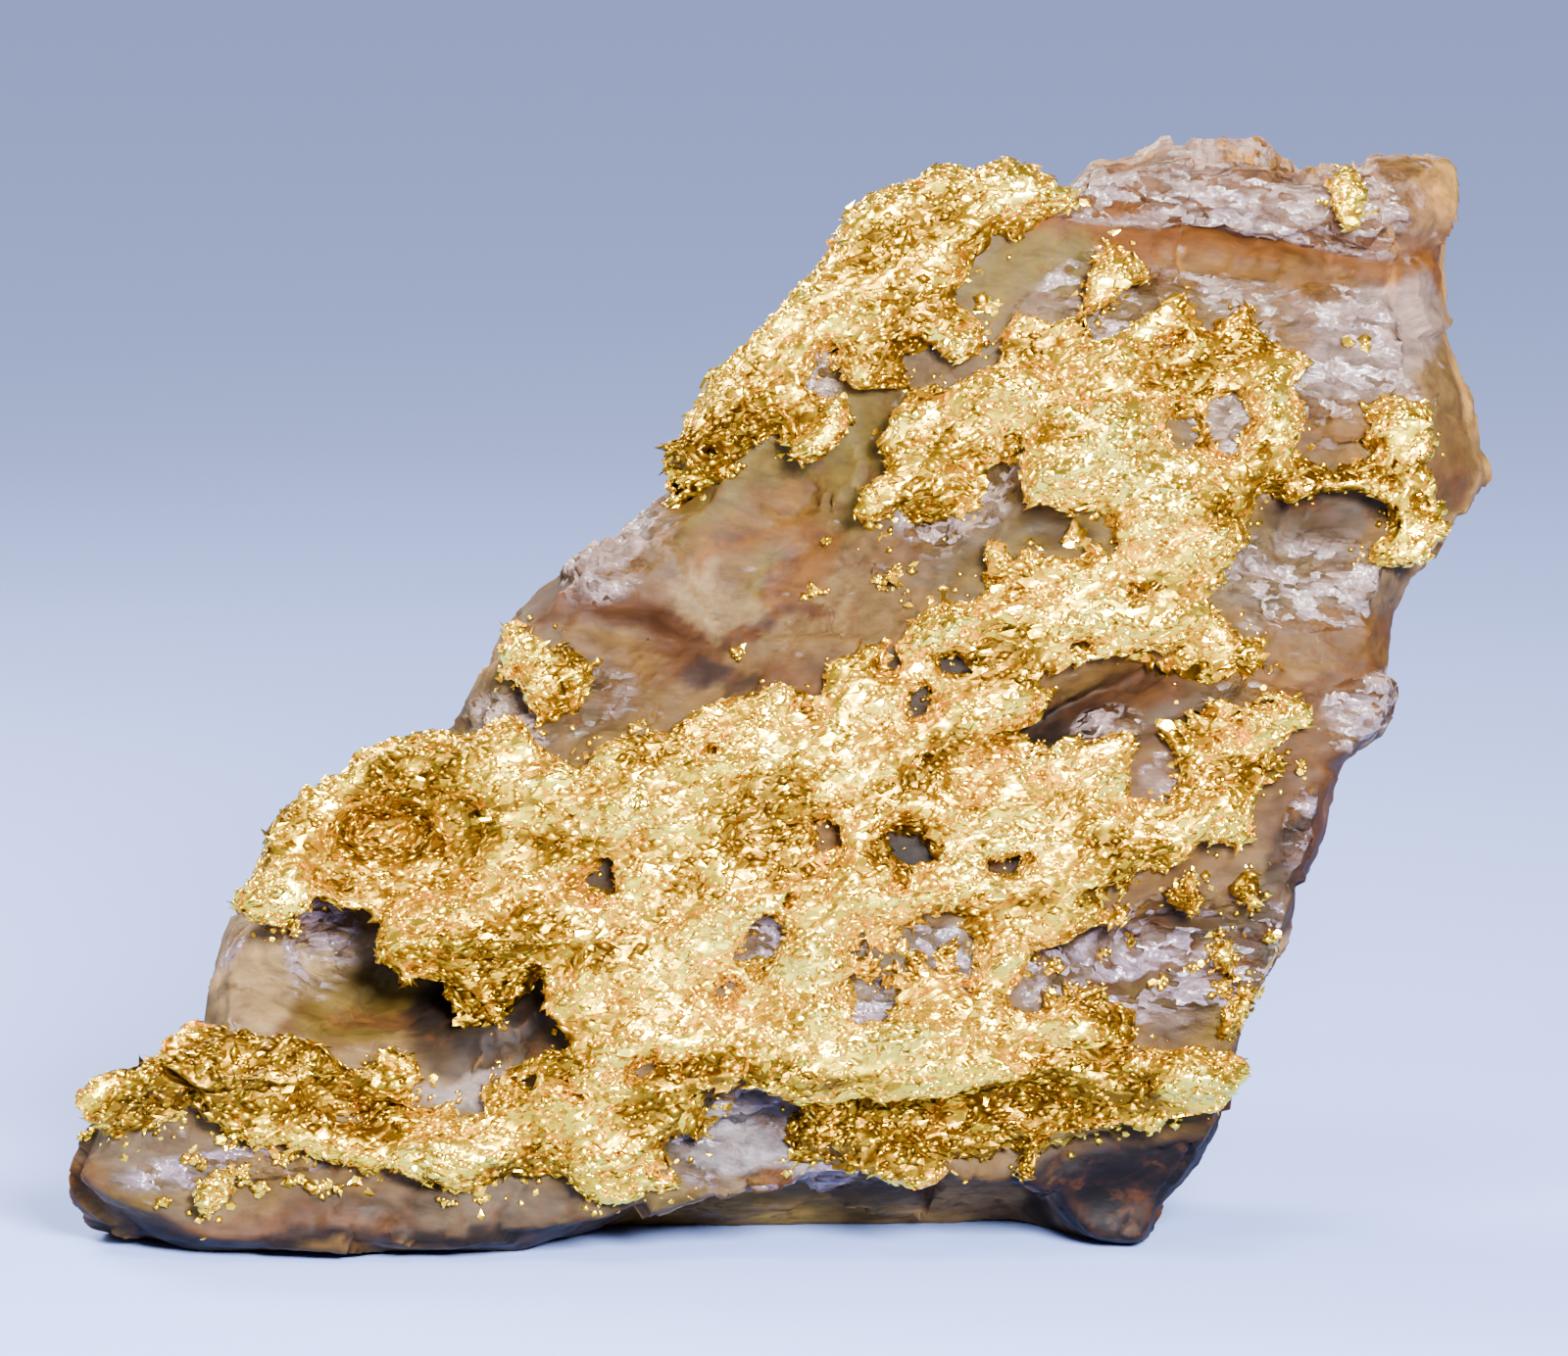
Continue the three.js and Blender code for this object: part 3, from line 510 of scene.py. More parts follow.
GOLD_VOXEL = 0.1  # mm between a crust's vertices
FAR = 1.5  # mm, how far off the quartz is looked for
SHELF = 0.85  # parts of a crust further than this from the quartz hang free and keep their underside
BEDDED = 0.12  # how deep a crust's underside and its worn-through places go into the quartz
FLOW = {"turn": 12, "stretch": 1.7}  # the gold's small forms and grains run up to the right
RIDGE_TURN = 18
# Forms of the gold: their size and how far they stand out, in mm.
KNOB_SIZE, KNOB_RELIEF = 1.15, 0.44
LUMP_SIZE, LUMP_RELIEF = 0.52, 0.19
BEAD_SIZE, BEAD_RELIEF = 0.25, 0.04
RIDGE_SIZE, RIDGE_RELIEF = 0.9, 0.34

# Folds pressed in the gold alone: place, depth in mm.
GOLD_FOLDS = [
    (-7.6, 2.8, 1.7, 0.32, -12, 0.45),
    (-10.2, 3.2, 1.0, 0.2, 20, 0.25),
    (2.8, 2.45, 3.0, 0.36, 2, 0.5),
    (5.0, 3.65, 1.2, 0.25, -20, 0.4),
    (-1.9, 3.5, 0.8, 0.25, 0, 0.35),
    (-0.9, 14.2, 1.4, 0.2, 52, 0.35),
    (-4.4, 5.8, 0.7, 0.35, 0, 0.35),
    (-7.7, 6.3, 0.35, 0.3, 0, 0.4),
    (0.4, 7.0, 2.6, 0.2, 22, 0.2),
    (5.4, 6.4, 1.2, 0.2, 5, 0.25),
    (7.3, 8.4, 0.9, 0.25, 0, 0.25),
    (4.6, 15.3, 0.9, 0.2, -35, 0.25),
    (6.2, 12.2, 1.4, 0.22, 25, 0.25),
]
# Places where the gold is worn through to the quartz.
OPENINGS = [
    (5.07, 10.6, 0.27, 0.18, 0), (2.95, 10.35, 0.3, 0.18, 10), (2.3, 9.7, 0.34, 0.22, 25),
    (1.72, 10.4, 0.2, 0.34, -15), (0.25, 9.65, 0.2, 0.13, 0), (0.75, 7.48, 0.18, 0.25, 10),
    (2.25, 7.25, 0.36, 0.26, 0), (1.95, 6.8, 0.2, 0.33, 0), (3.8, 6.95, 0.42, 0.26, 10),
    (0.15, 6.35, 0.14, 0.18, 0), (-3.1, 6.65, 0.42, 0.3, -40), (-0.35, 5.6, 0.4, 0.6, -20),
    (-0.9, 4.85, 0.3, 0.25, 0), (1.45, 4.7, 0.6, 0.36, 0), (1.15, 5.7, 0.36, 0.26, 0),
    (1.8, 5.4, 0.4, 0.26, -20), (2.5, 5.85, 0.62, 0.3, 8), (3.2, 5.4, 0.24, 0.5, 0),
    (6.8, 14.2, 0.32, 0.22, 10), (7.65, 14.4, 0.45, 0.5, -15), (8.1, 9.45, 0.4, 0.16, 5),
    (4.6, 12.5, 0.8, 0.36, 0), (3.05, 13.3, 1.15, 0.4, 48), (6.6, 15.8, 0.3, 0.2, 0),
    (-1.3, 8.95, 0.18, 0.12, 0), (6.2, 8.35, 0.3, 0.4, 20), (6.0, 11.6, 0.16, 0.12, 0),
]
# Painted shade in folds, hollows and the toe, partly iron stain, and painted highlights where the gold
# catches the light: place, change of tone.
GOLD_TONES = [
    (-6.8, 7.2, 2.1, 1.0, -8, -0.75), (-7.75, 6.3, 0.4, 0.4, 0, -0.5),
    (-4.6, 5.7, 1.4, 0.55, 12, -0.7), (-7.7, 2.85, 1.8, 0.5, -12, -0.8),
    (-9.6, 3.2, 2.4, 1.0, 8, -0.8), (2.8, 2.4, 3.4, 0.6, 2, -1.6), (-1.9, 3.5, 0.9, 0.3, 0, -0.5),
    (5.0, 3.6, 1.4, 0.35, -20, -0.5), (-0.7, 3.3, 1.1, 0.3, 0, -0.9),
    (4.6, 9.3, 2.0, 0.4, 25, -0.6), (-0.9, 14.15, 1.5, 0.25, 52, -0.5),
    (5.2, 6.4, 0.9, 0.4, 0, -0.3), (7.5, 8.4, 0.6, 0.3, 0, -0.25), (4.5, 10.3, 0.7, 0.3, 20, -0.25),
    (6.4, 13.0, 1.2, 0.25, 10, -0.3), (1.0, 15.6, 0.8, 0.5, 40, -0.15),
    (5.7, 14.0, 1.6, 0.9, -40, 0.5), (8.4, 15.1, 0.5, 0.6, 0, 0.5), (2.5, 11.4, 0.9, 0.5, 20, 0.5),
    (-2.5, 8.3, 0.5, 0.7, 0, 0.5), (7.1, 3.2, 0.7, 0.5, 0, 0.5), (-3.0, 1.7, 1.4, 0.35, -5, 0.25),
    (1.2, 4.2, 2.0, 0.4, 5, 0.25), (3.8, 7.9, 1.4, 0.6, 10, 0.2), (-6.0, 6.2, 2.6, 2.2, 0, 0.1),
    (-3.6, 4.6, 1.5, 1.4, 0, -0.1), (6.4, 3.0, 2.2, 0.7, 10, -0.3),
]
# Calmer places that catch the light as a whole: their small relief is lower and their tone raised, as a
# painted highlight.
GLARES = [
    (5.7, 13.95, 0.4, 0.65, 0), (6.2, 13.25, 0.55, 0.35, 0), (8.4, 14.9, 0.5, 0.45, 0),
    (2.8, 15.7, 0.45, 0.25, 10), (2.8, 11.4, 0.7, 0.5, 30), (5.3, 11.1, 0.6, 0.3, 15),
    (5.7, 8.25, 0.35, 0.3, 15), (7.2, 7.4, 0.5, 0.3, 15), (7.3, 3.3, 0.6, 0.45, 10),
    (0.0, 9.0, 0.5, 0.3, 15), (0.35, 5.1, 0.3, 0.5, 0), (-2.4, 8.1, 0.25, 0.65, 5),
    (-0.65, 4.85, 0.35, 0.3, 0), (-2.1, 1.35, 0.4, 0.3, 10), (-6.5, 1.85, 0.5, 0.22, 10),
    (-7.4, 8.3, 0.35, 0.25, 20), (1.6, 3.9, 1.0, 0.3, 10), (3.9, 7.6, 0.8, 0.3, 15),
    (-4.6, 7.6, 0.7, 0.25, 15), (4.0, 4.0, 0.8, 0.25, 0),
]


def over_quartz(vertices):
    """Each point's height over the quartz, below zero inside it, and the nearest place on it."""
    height = np.full(len(vertices), FAR)
    nearest = vertices.copy()
    for i, vertex in enumerate(vertices.tolist()):
        place, normal, _, distance = quartz_tree.find_nearest(vertex, FAR)
        if place is not None:
            nearest[i] = place
            height[i] = math.copysign(distance, (Vector(vertex) - place).dot(normal))
    return height, nearest


def joined(meshes):
    """Several meshes, each its vertices and triangles, as one."""
    starts = np.cumsum([0] + [len(vertices) for vertices, _ in meshes])
    vertices = np.concatenate([vertices for vertices, _ in meshes])
    triangles = np.concatenate([faces + start for (_, faces), start in zip(meshes, starts)])
    return vertices, triangles


def glare_at(vertices):
    """How much each point is of one of the places in GLARES, from 0 to 1."""
    wavering = warped(vertices, 0.18, 0.5, 127)
    return np.max([ramp(on_face(wavering, *place), 0.15, 0.6) for place in GLARES], axis=0)


def gold_relief(vertices, flowing, glare):
    """How far the gold's knobs, lumps, beads and ridges stand out, in mm."""
    knobs, _, _, _ = nearest_cells(flowing, KNOB_SIZE, 83)
    lumps, _, _, _ = nearest_cells(flowing, LUMP_SIZE, 87)
    beads, _, _, _ = nearest_cells(flowing, BEAD_SIZE, 91)
    running = warped(along_direction(vertices, RIDGE_TURN, 2.6), 0.2, 1.2, 69)
    ridges = 1 - np.abs(value_noise(running, RIDGE_SIZE, 71))
    small = LUMP_RELIEF * (0.5 - lumps) + BEAD_RELIEF * (0.5 - beads) + RIDGE_RELIEF * (ridges - 0.6)
    relief = KNOB_RELIEF * (0.55 - knobs) + small * (1 - 0.45 * glare)
    return relief + 0.12 * fractal_noise(vertices, 2.2, 75, 2) - 0.16


def gold_tone(vertices, flowing, relief, folds, glare):
    """The gold's tone, from 0, dark, to 1, bright: painted shade where its relief is low and in its
    folds, partly iron stain, painted highlight in the glare places, changes by chance, and the painted
    shade and highlights of GOLD_TONES.
    """
    # Low relief and the folds are painted darker, as shade; the glare places are painted brighter, as
    # highlight.
    tone = 0.62 + 1.8 * (relief + 0.04) - 0.5 * folds + 0.12 * fractal_noise(vertices, 1.8, 103, 2)
    streaks = value_noise(along_direction(vertices, RIDGE_TURN, 3.0), 0.42, 107)
    shade = ramp(fractal_noise(flowing, 0.85, 115, 2), 0.0, 0.7)
    tone += 0.14 * streaks - 0.46 * shade * (1 - glare) + 0.3 * glare
    wavering = warped(vertices, 0.3, 0.9, 121)
    for *place, change in GOLD_TONES:
        tone += 0.7 * change * ramp(on_face(wavering, *place), 0.1, 0.8)
    return np.clip(tone, 0, 1)


def gold_surface(*nodes):
    """A crust with its underside bedded in the quartz, folded and knobbly outside, worn through in
    places and lacy at its edge. Gives the mesh and its tone."""
    vertices, triangles = remeshed(*joined([node_arrays(name) for name in nodes]), GOLD_VOXEL)
    vertices = smoothed(vertices, triangles, 3)
    vertices[:, 1] += pushed_in(vertices, SHARED_FORMS)
    normals = normals_of(vertices, triangles)
    height, nearest = over_quartz(vertices)

    inward = unit(nearest - vertices) * np.sign(height)[:, None]
    underside = ramp(np.sum(inward * normals, axis=1), 0.0, 0.5) * (height < SHELF)
    flowing = warped(along_direction(vertices, **FLOW), 0.12, 0.9, 5)
    glare = glare_at(vertices)
    relief = gold_relief(vertices, flowing, glare)
    folds = pushed_in(vertices, GOLD_FOLDS)
    moved = vertices + normals * ((relief - folds) * (1 - underside))[:, None]

    worn = ramp(fractal_noise(flowing, 0.8, 97) - 1.5 * (height - 0.42), 0.25, 0.45)
    ragged = warped(vertices, 0.07, 0.3, 11)
    for opening in OPENINGS:
        worn = np.maximum(worn, ramp(on_face(ragged, *opening), 0.3, 0.5))
    sunk = np.clip(underside + worn * (height < SHELF + 0.35), 0, 1)
    moved += (nearest + inward * BEDDED - moved) * sunk[:, None]
    return moved, triangles, gold_tone(vertices, flowing, relief, folds, glare)


GOLD_PIECES = {
    "gold_crust_skin": ["gold_main_crust"],
    "gold_crest_skin": ["gold_crest_sheet"],
    "gold_patch_skins": [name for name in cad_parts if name.startswith("gold_patch")],
}
gold_surfaces = []
gold_objects = []
for piece, nodes in GOLD_PIECES.items():
    vertices, triangles, tone = gold_surface(*nodes)
    gold_surfaces.append((vertices, triangles, tone))
    obj = new_object(piece, vertices, triangles, smooth=True)
    paint(obj, "tone", tone[:, None])
    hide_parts(*nodes)
    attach(obj, "root")
    gold_objects.append(obj)

# ---- grains of gold ----

GRAINS_ON_CRUST = 56000  # over a third fall inside the quartz and are dropped
TRIED_ON_QUARTZ = 60000
LACE_REACH = 0.28  # mm from the crust's edge at which loose grains get rare
GRAIN_RADIUS = 0.072  # mm, the usual one
GRAIN_SPREAD = 0.34  # of the radius's logarithm
GRAIN_RADII = (0.035, 0.125)  # the smallest and largest
LOOSE_LENGTH = 0.62  # loose grains are rounder than the ones on the crust

# Specks of gold that stand alone on the quartz: x, z, reach along and across.
SPECKS = [
    (3.55, 16.2, 0.22, 0.12), (9.6, 18.3, 0.14, 0.2), (9.55, 17.9, 0.12, 0.16),
    (9.6, 15.6, 0.06, 0.06), (9.9, 15.6, 0.06, 0.06), (-0.95, 13.4, 0.2, 0.14),
    (-0.8, 10.38, 0.12, 0.1), (1.65, 11.57, 0.16, 0.14), (0.74, 12.2, 0.1, 0.08),
    (0.56, 11.4, 0.2, 0.12), (7.95, 6.2, 0.26, 0.2), (6.95, 6.5, 0.2, 0.24),
    (7.55, 5.35, 0.2, 0.24), (7.45, 4.65, 0.26, 0.14), (8.0, 4.35, 0.2, 0.22),
    (4.5, 5.1, 0.14, 0.14), (4.8, 4.7, 0.16, 0.1), (6.0, 5.4, 0.1, 0.1), (8.3, 5.5, 0.1, 0.08),
    (8.8, 8.45, 0.1, 0.08), (6.4, 4.75, 0.12, 0.1), (7.0, 5.0, 0.1, 0.08), (5.4, 5.2, 0.1, 0.08),
    (-10.6, 2.6, 0.22, 0.12), (-10.0, 1.8, 0.2, 0.14), (-9.65, 1.3, 0.24, 0.26),
    (-9.2, 1.6, 0.16, 0.12), (-8.5, 1.8, 0.26, 0.1), (-8.3, 1.45, 0.2, 0.1), (-7.8, 1.3, 0.3, 0.1),
    (-8.9, 1.3, 0.14, 0.1), (-10.55, 1.05, 0.1, 0.08), (-12.0, 2.05, 0.12, 0.1),
    (-5.15, 1.15, 0.12, 0.07), (-5.7, 1.1, 0.1, 0.07), (-9.3, 2.2, 0.3, 0.12),
    (-8.2, 2.1, 0.3, 0.1), (-11.3, 2.3, 0.12, 0.1), (-8.4, 5.6, 0.12, 0.1),
]


def octahedron():
    corners = np.array([[1, 0, 0], [-1, 0, 0], [0, 1, 0], [0, -1, 0], [0, 0, 1], [0, 0, -1]], float)
    faces = [(0, 2, 4), (2, 1, 4), (1, 3, 4), (3, 0, 4), (2, 0, 5), (1, 2, 5), (3, 1, 5), (0, 3, 5)]
    return corners, np.array(faces)


def plate(sides, thickness):
    """A flat crystal with bevelled ends: an n-sided ring at two heights, closed by fans."""
    turn = np.arange(sides) * 2 * math.pi / sides
    low = np.stack([np.cos(turn), np.sin(turn), np.full(sides, -thickness)], axis=1)
    high = np.stack([0.8 * np.cos(turn), 0.8 * np.sin(turn), np.full(sides, thickness)], axis=1)
    faces = [(i, (i + 1) % sides, sides + i) for i in range(sides)]
    faces += [((i + 1) % sides, sides + (i + 1) % sides, sides + i) for i in range(sides)]
    faces += [(sides, sides + i, sides + i + 1) for i in range(1, sides - 1)]
    faces += [(0, i + 1, i) for i in range(1, sides - 1)]
    return np.concatenate([low, high]), np.array(faces)


# Each form of grain: its corners and faces, how often it comes, and whether it is shaded evenly, as a
# worn grain, or face by face, as a crystal.
GRAIN_FORMS = [(octahedron(), 0.55, True), (plate(5, 0.5), 0.15, False), (octahedron(), 0.3, False)]
# A grain's half length, breadth and thickness as shares of its radius, at the least and at the most.
LEAST_GRAIN, LARGEST_GRAIN = (1.1, 0.7, 0.28), (2.1, 1.1, 0.5)


def lying_frames(normals, random):
    """For each grain three directions: its long one roughly along the gold's flow, and its short one
    roughly away from the surface."""
    turn = math.radians(FLOW["turn"])
    flow = np.array([math.cos(turn), 0, math.sin(turn)])
    up = unit(normals + 0.22 * random.normal(size=normals.shape))
    along = flow + 0.33 * random.normal(size=normals.shape)
    along = unit(along - up * np.sum(along * up, axis=1, keepdims=True))
    return along, np.cross(up, along), up


def grain_mesh(places, normals, radii, length, random):
    """Every grain as a small closed solid of its own form, size and turn. Gives the mesh, which grain
    each vertex is of, and which faces are shaded evenly."""
    vertices, triangles, owners, even, start = [], [], [], [], 0
    kinds = random.choice(len(GRAIN_FORMS), len(places), p=[share for _, share, _ in GRAIN_FORMS])
    along, side, up = lying_frames(normals, random)
    for kind, ((corners, faces), _, shaded_evenly) in enumerate(GRAIN_FORMS):
        chosen = np.nonzero(kinds == kind)[0]
        count = len(chosen)
        sizes = radii[chosen, None] * random.uniform(LEAST_GRAIN, LARGEST_GRAIN, size=(count, 3))
        sizes[:, 0] *= length[chosen]
        wobble = random.uniform(0.85, 1.15, size=(count, len(corners), 3))
        shapes = corners[None] * wobble * sizes[:, None, :]
        axes = np.stack([along[chosen], side[chosen], up[chosen]], axis=1)
        shapes = np.einsum("nki,nij->nkj", shapes, axes) + places[chosen, None, :]
        vertices.append(shapes.reshape(-1, 3))
        offsets = start + np.arange(count)[:, None, None] * len(corners)
        triangles.append((faces[None] + offsets).reshape(-1, 3))
        owners.append(np.repeat(chosen, len(corners)))
        even.append(np.full(count * len(faces), shaded_evenly))
        start += count * len(corners)
    return tuple(np.concatenate(column) for column in (vertices, triangles, owners, even))


def scattered(vertices, triangles, count, random):
    """Random places over a surface, with the normal at each and a corner of its triangle."""
    a, b, c = (vertices[triangles[:, i]] for i in range(3))
    cross = np.cross(b - a, c - a)
    area = np.linalg.norm(cross, axis=1)
    chosen = random.choice(len(triangles), count, p=area / area.sum())
    u, v = np.sqrt(random.random(count)), random.random(count)
    shares = np.stack([1 - u, u * (1 - v), u * v], axis=1)[:, :, None]
    places = a[chosen] * shares[:, 0] + b[chosen] * shares[:, 1] + c[chosen] * shares[:, 2]
    return places, unit(cross[chosen]), triangles[chosen, 0]


def grains_on_crust(vertices, triangles, tone, random):
    places, directions, corner = scattered(vertices, triangles, GRAINS_ON_CRUST, random)
    height, _ = over_quartz(places)
    clear = height > 0.02
    # The grains take the crust's tone, with its painted shade and highlights, made 0.16 brighter, so the
    # skin between them stays darker as painted shade.
    return places[clear], directions[clear], tone[corner[clear]] + 0.16


def grains_by_the_edge(crust_vertices, random):
    """Loose grains on the quartz, fewer the further from the crust."""
    places, directions, _ = scattered(quartz_vertices, quartz_triangles, TRIED_ON_QUARTZ, random)
    height, _ = over_quartz(crust_vertices)
    shown = crust_vertices[height > 0.03]
    tree = KDTree(len(shown))
    for i, vertex in enumerate(shown.tolist()):
        tree.insert(vertex, i)
    tree.balance()
    gap = np.array([tree.find(place)[2] for place in places.tolist()])
    patchy = 0.6 + 0.8 * value_noise(places, 0.7, 211)
    kept = random.random(len(places)) < patchy * np.exp(-((gap / LACE_REACH) ** 2))
    return places[kept], directions[kept], np.full(kept.sum(), 0.6)


def grains_of_specks(random):
    places, directions = [], []
    for x, z, along, across in SPECKS:
        for _ in range(round(8 + 420 * along * across)):
            dx, dz = random.normal(0, 0.55, 2) * (along, across)
            start = Vector((x + SHIFT_X + dx, -20, z + dz))
            place, normal, _, _ = quartz_tree.ray_cast(start, Vector((0, 1, 0)))
            if place is not None:
                places.append(np.array(place) + np.array(normal) * random.uniform(0, 0.1))
                directions.append(normal)
    return np.array(places), np.array(directions), np.full(len(places), 0.7)


random = np.random.default_rng(20)
crust_vertices, crust_triangles = joined([surface[:2] for surface in gold_surfaces])
crust_tone = np.concatenate([tone for _, _, tone in gold_surfaces])
groups = [
    grains_on_crust(crust_vertices, crust_triangles, crust_tone, random),
    grains_by_the_edge(crust_vertices, random),
    grains_of_specks(random),
]
places, directions, tones = (np.concatenate(column) for column in zip(*groups))
radii = np.exp(random.normal(math.log(GRAIN_RADIUS), GRAIN_SPREAD, len(places)))
radii = np.clip(radii, *GRAIN_RADII)
places = places + directions * (radii * random.uniform(-0.3, 0.5, len(places)))[:, None]
tones = np.clip(tones + random.normal(-0.06, 0.18, len(tones)), 0, 1)
loose = np.arange(len(places)) >= len(groups[0][0])
lengths = np.where(loose, LOOSE_LENGTH, 1.0)

# The grains are three pieces, each from one x to the next.
THIRDS = [
    (-math.inf, -2.0, "gold_grains_left"),
    (-2.0, 3.6, "gold_grains_middle"),
    (3.6, math.inf, "gold_grains_right"),
]
for low, high, name in THIRDS:
    inside = (places[:, 0] >= low) & (places[:, 0] < high)
    grains = (places[inside], directions[inside], radii[inside], lengths[inside])
    vertices, triangles, owners, even = grain_mesh(*grains, random)
    obj = new_object(name, vertices, triangles, smooth=even)
    paint(obj, "tone", tones[inside][owners][:, None])
    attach(obj, "root")
    gold_objects.append(obj)

# ---- materials ----


class Nodes:
    """A material's node tree, with short calls that add nodes and give their outputs."""

    def __init__(self, name):
        self.material = bpy.data.materials.new(name)
        self.material.use_nodes = True
        self.tree = self.material.node_tree

    def feed(self, socket, value):
        """Link another node's output to the socket, or set its value. A colour is given as RGB."""
        if isinstance(value, bpy.types.NodeSocket):
            self.tree.links.new(value, socket)
        else:
            socket.default_value = (*value, 1.0) if socket.type == "RGBA" else value

    def add(self, kind, inputs, **settings):
        node = self.tree.nodes.new(kind)
        for key, value in settings.items():
            setattr(node, key, value)
        for name, value in inputs.items():
            self.feed(node.inputs[name], value)
        return node.outputs

    def finished(self, inputs):
        """The material, with these inputs on its shader."""
        for name, value in inputs.items():
            self.feed(self.tree.nodes["Principled BSDF"].inputs[name], value)
        return self.material

    def painted(self, name):
        return self.add("ShaderNodeVertexColor", {}, layer_name=name)["Color"]

    def places(self, turn=0.0, stretch=1.0):
        """Object coordinates in mm, turned and pressed together so that patterns run one way."""
        place = self.add("ShaderNodeTexCoord", {})["Object"]
        rotation = (0, math.radians(turn), 0)
        turned = self.add("ShaderNodeMapping", {"Vector": place, "Rotation": rotation})["Vector"]
        scale = (1 / stretch / MM, 1 / MM, 1 / MM)
        return self.add("ShaderNodeMapping", {"Vector": turned, "Scale": scale})["Vector"]

    def noise(self, places, size, detail=3.0, roughness=0.55, output="Fac"):
        inputs = {"Vector": places, "Scale": 1 / size, "Detail": detail, "Roughness": roughness}
        return self.add("ShaderNodeTexNoise", inputs)[output]

    def bent(self, places, noise, reach):
        """Coordinates moved about by a coloured noise times reach."""
        inputs = {0: noise, 1: (reach, reach, reach), 2: places}
        return self.add("ShaderNodeVectorMath", inputs, operation="MULTIPLY_ADD")["Vector"]

    def cells(self, places, size, feature="F1"):
        inputs = {"Vector": places, "Scale": 1 / size}
        return self.add("ShaderNodeTexVoronoi", inputs, feature=feature)

    def range(self, value, low, high, start=0.0, end=1.0):
        """The value where it runs from start to end, brought to run from low to high."""
        inputs = {"Value": value, "From Min": start, "From Max": end, "To Min": low, "To Max": high}
        return self.add("ShaderNodeMapRange", inputs)["Result"]

    def math(self, operation, first, second):
        return self.add("ShaderNodeMath", {0: first, 1: second}, operation=operation)["Value"]

    def vector_math(self, operation, first, second, output="Vector"):
        return self.add("ShaderNodeVectorMath", {0: first, 1: second}, operation=operation)[output]

    def mix(self, blend, share, first, second):
        inputs = {"Factor": share, "A": first, "B": second}
        return self.add("ShaderNodeMix", inputs, data_type="RGBA", blend_type=blend)["Result"]

    def mottled(self, colour, noise, lights, noise_from=0.0, noise_to=1.0, share=1.0):
        """A colour made darker and lighter by noise, between the two lights times itself."""
        return self.mix("MULTIPLY", share, colour, self.range(noise, *lights, noise_from, noise_to))

    def gradient(self, value, stops):
        node = self.tree.nodes.new("ShaderNodeValToRGB")
        elements = node.color_ramp.elements
        while len(elements) < len(stops):
            elements.new(0.5)
        for element, (position, colour) in zip(elements, stops):
            element.position = position
            element.color = (*colour, 1.0)
        self.feed(node.inputs["Fac"], value)
        return node.outputs["Color"]

    def bump(self, height, strength=1.0):
        """A normal from relief in mm."""
        inputs = {"Strength": strength, "Distance": MM, "Height": height}
        return self.add("ShaderNodeBump", inputs)["Normal"]


FLAKE_SIZE = 0.13  # mm across the layering
CRYSTAL_SIZE = 1.1  # mm between healed cracks
# The flakes' white is partly their own, partly painted sheen.
FLAKE_WHITE = (0.116, 0.080, 0.071)
FLAKE_BLUE = (0.104, 0.074, 0.096)  # low on the front the flakes are bluer: painted reflection of the blue light from below
GLINT_SIZE = 0.12  # mm across the gold's flow
# Gold by tone, from dark, stain and painted shade, to bright, clean gold and painted highlight.
GOLD_COLOURS = [
    (0.0, (0.15, 0.072, 0.004)),
    (0.28, (0.43, 0.245, 0.006)),
    (0.48, (0.90, 0.57, 0.010)),
    (0.72, (1.0, 0.68, 0.025)),
    (1.0, (1.0, 0.75, 0.06)),
]


def tilted_cells(nodes, places, stretched, size, wobble):
    """Small facets, each a plane tilted its own way: their heights in mm, and each one's own colour."""
    bent = nodes.bent(stretched, nodes.noise(places, 2.3 * size, 2, output="Color"), wobble)
    cells = nodes.cells(bent, size)
    away = nodes.vector_math("SUBTRACT", bent, cells["Position"])
    tilt = nodes.vector_math("SUBTRACT", cells["Color"], (0.5, 0.5, 0.5))
    slope = nodes.vector_math("DOT_PRODUCT", away, tilt, "Value")
    own = nodes.add("ShaderNodeSeparateColor", {"Color": cells["Color"]})
    step = nodes.math("MULTIPLY", own["Red"], 0.4 * size)
    return nodes.math("ADD", slope, step), own


def hairline_cracks(nodes, places):
    """Thin healed cracks between crystals, 1 on each line, shown in places only."""
    bent = nodes.bent(places, nodes.noise(places, 0.5, 3, output="Color"), 0.5)
    edge = nodes.cells(bent, CRYSTAL_SIZE, "DISTANCE_TO_EDGE")["Distance"]
    line = nodes.range(edge, 1.0, 0.0, 0.0, 0.035)
    shown = nodes.range(nodes.noise(places, 1.6, 2), 0.0, 1.0, 0.55, 0.7)
    return nodes.math("MULTIPLY", line, shown)


def white_flakes(nodes, layered, own, broken):
    """Where flakes are white: some of them, gathered in clusters, and only where the quartz is flaky."""
    gathered = nodes.math("MULTIPLY", nodes.noise(layered, 0.7, 2), 3.0)
    shine = nodes.math("ADD", own["Green"], gathered)
    return nodes.math("MULTIPLY", nodes.range(shine, 0.0, 1.0, 2.0, 2.4), broken)


def flake_colour(nodes, places, layered):
    """White, partly painted sheen, turned bluer low on the front as a painted reflection of the blue
    light from below, with dark grit.
    """
    where = nodes.add("ShaderNodeSeparateXYZ", {"Vector": places})
    low_down = nodes.range(where["Z"], 1.0, 0.0, 6.0, 10.0)
    in_front = nodes.range(where["Y"], 1.0, 0.0, -2.0, 0.0)
    blue_reflection_share = nodes.math("MULTIPLY", low_down, in_front)
    colour = nodes.mix("MIX", blue_reflection_share, FLAKE_WHITE, FLAKE_BLUE)
    return nodes.mottled(colour, nodes.noise(layered, 0.07, 3, 0.7), (0.45, 1.45), 0.3, 0.7)


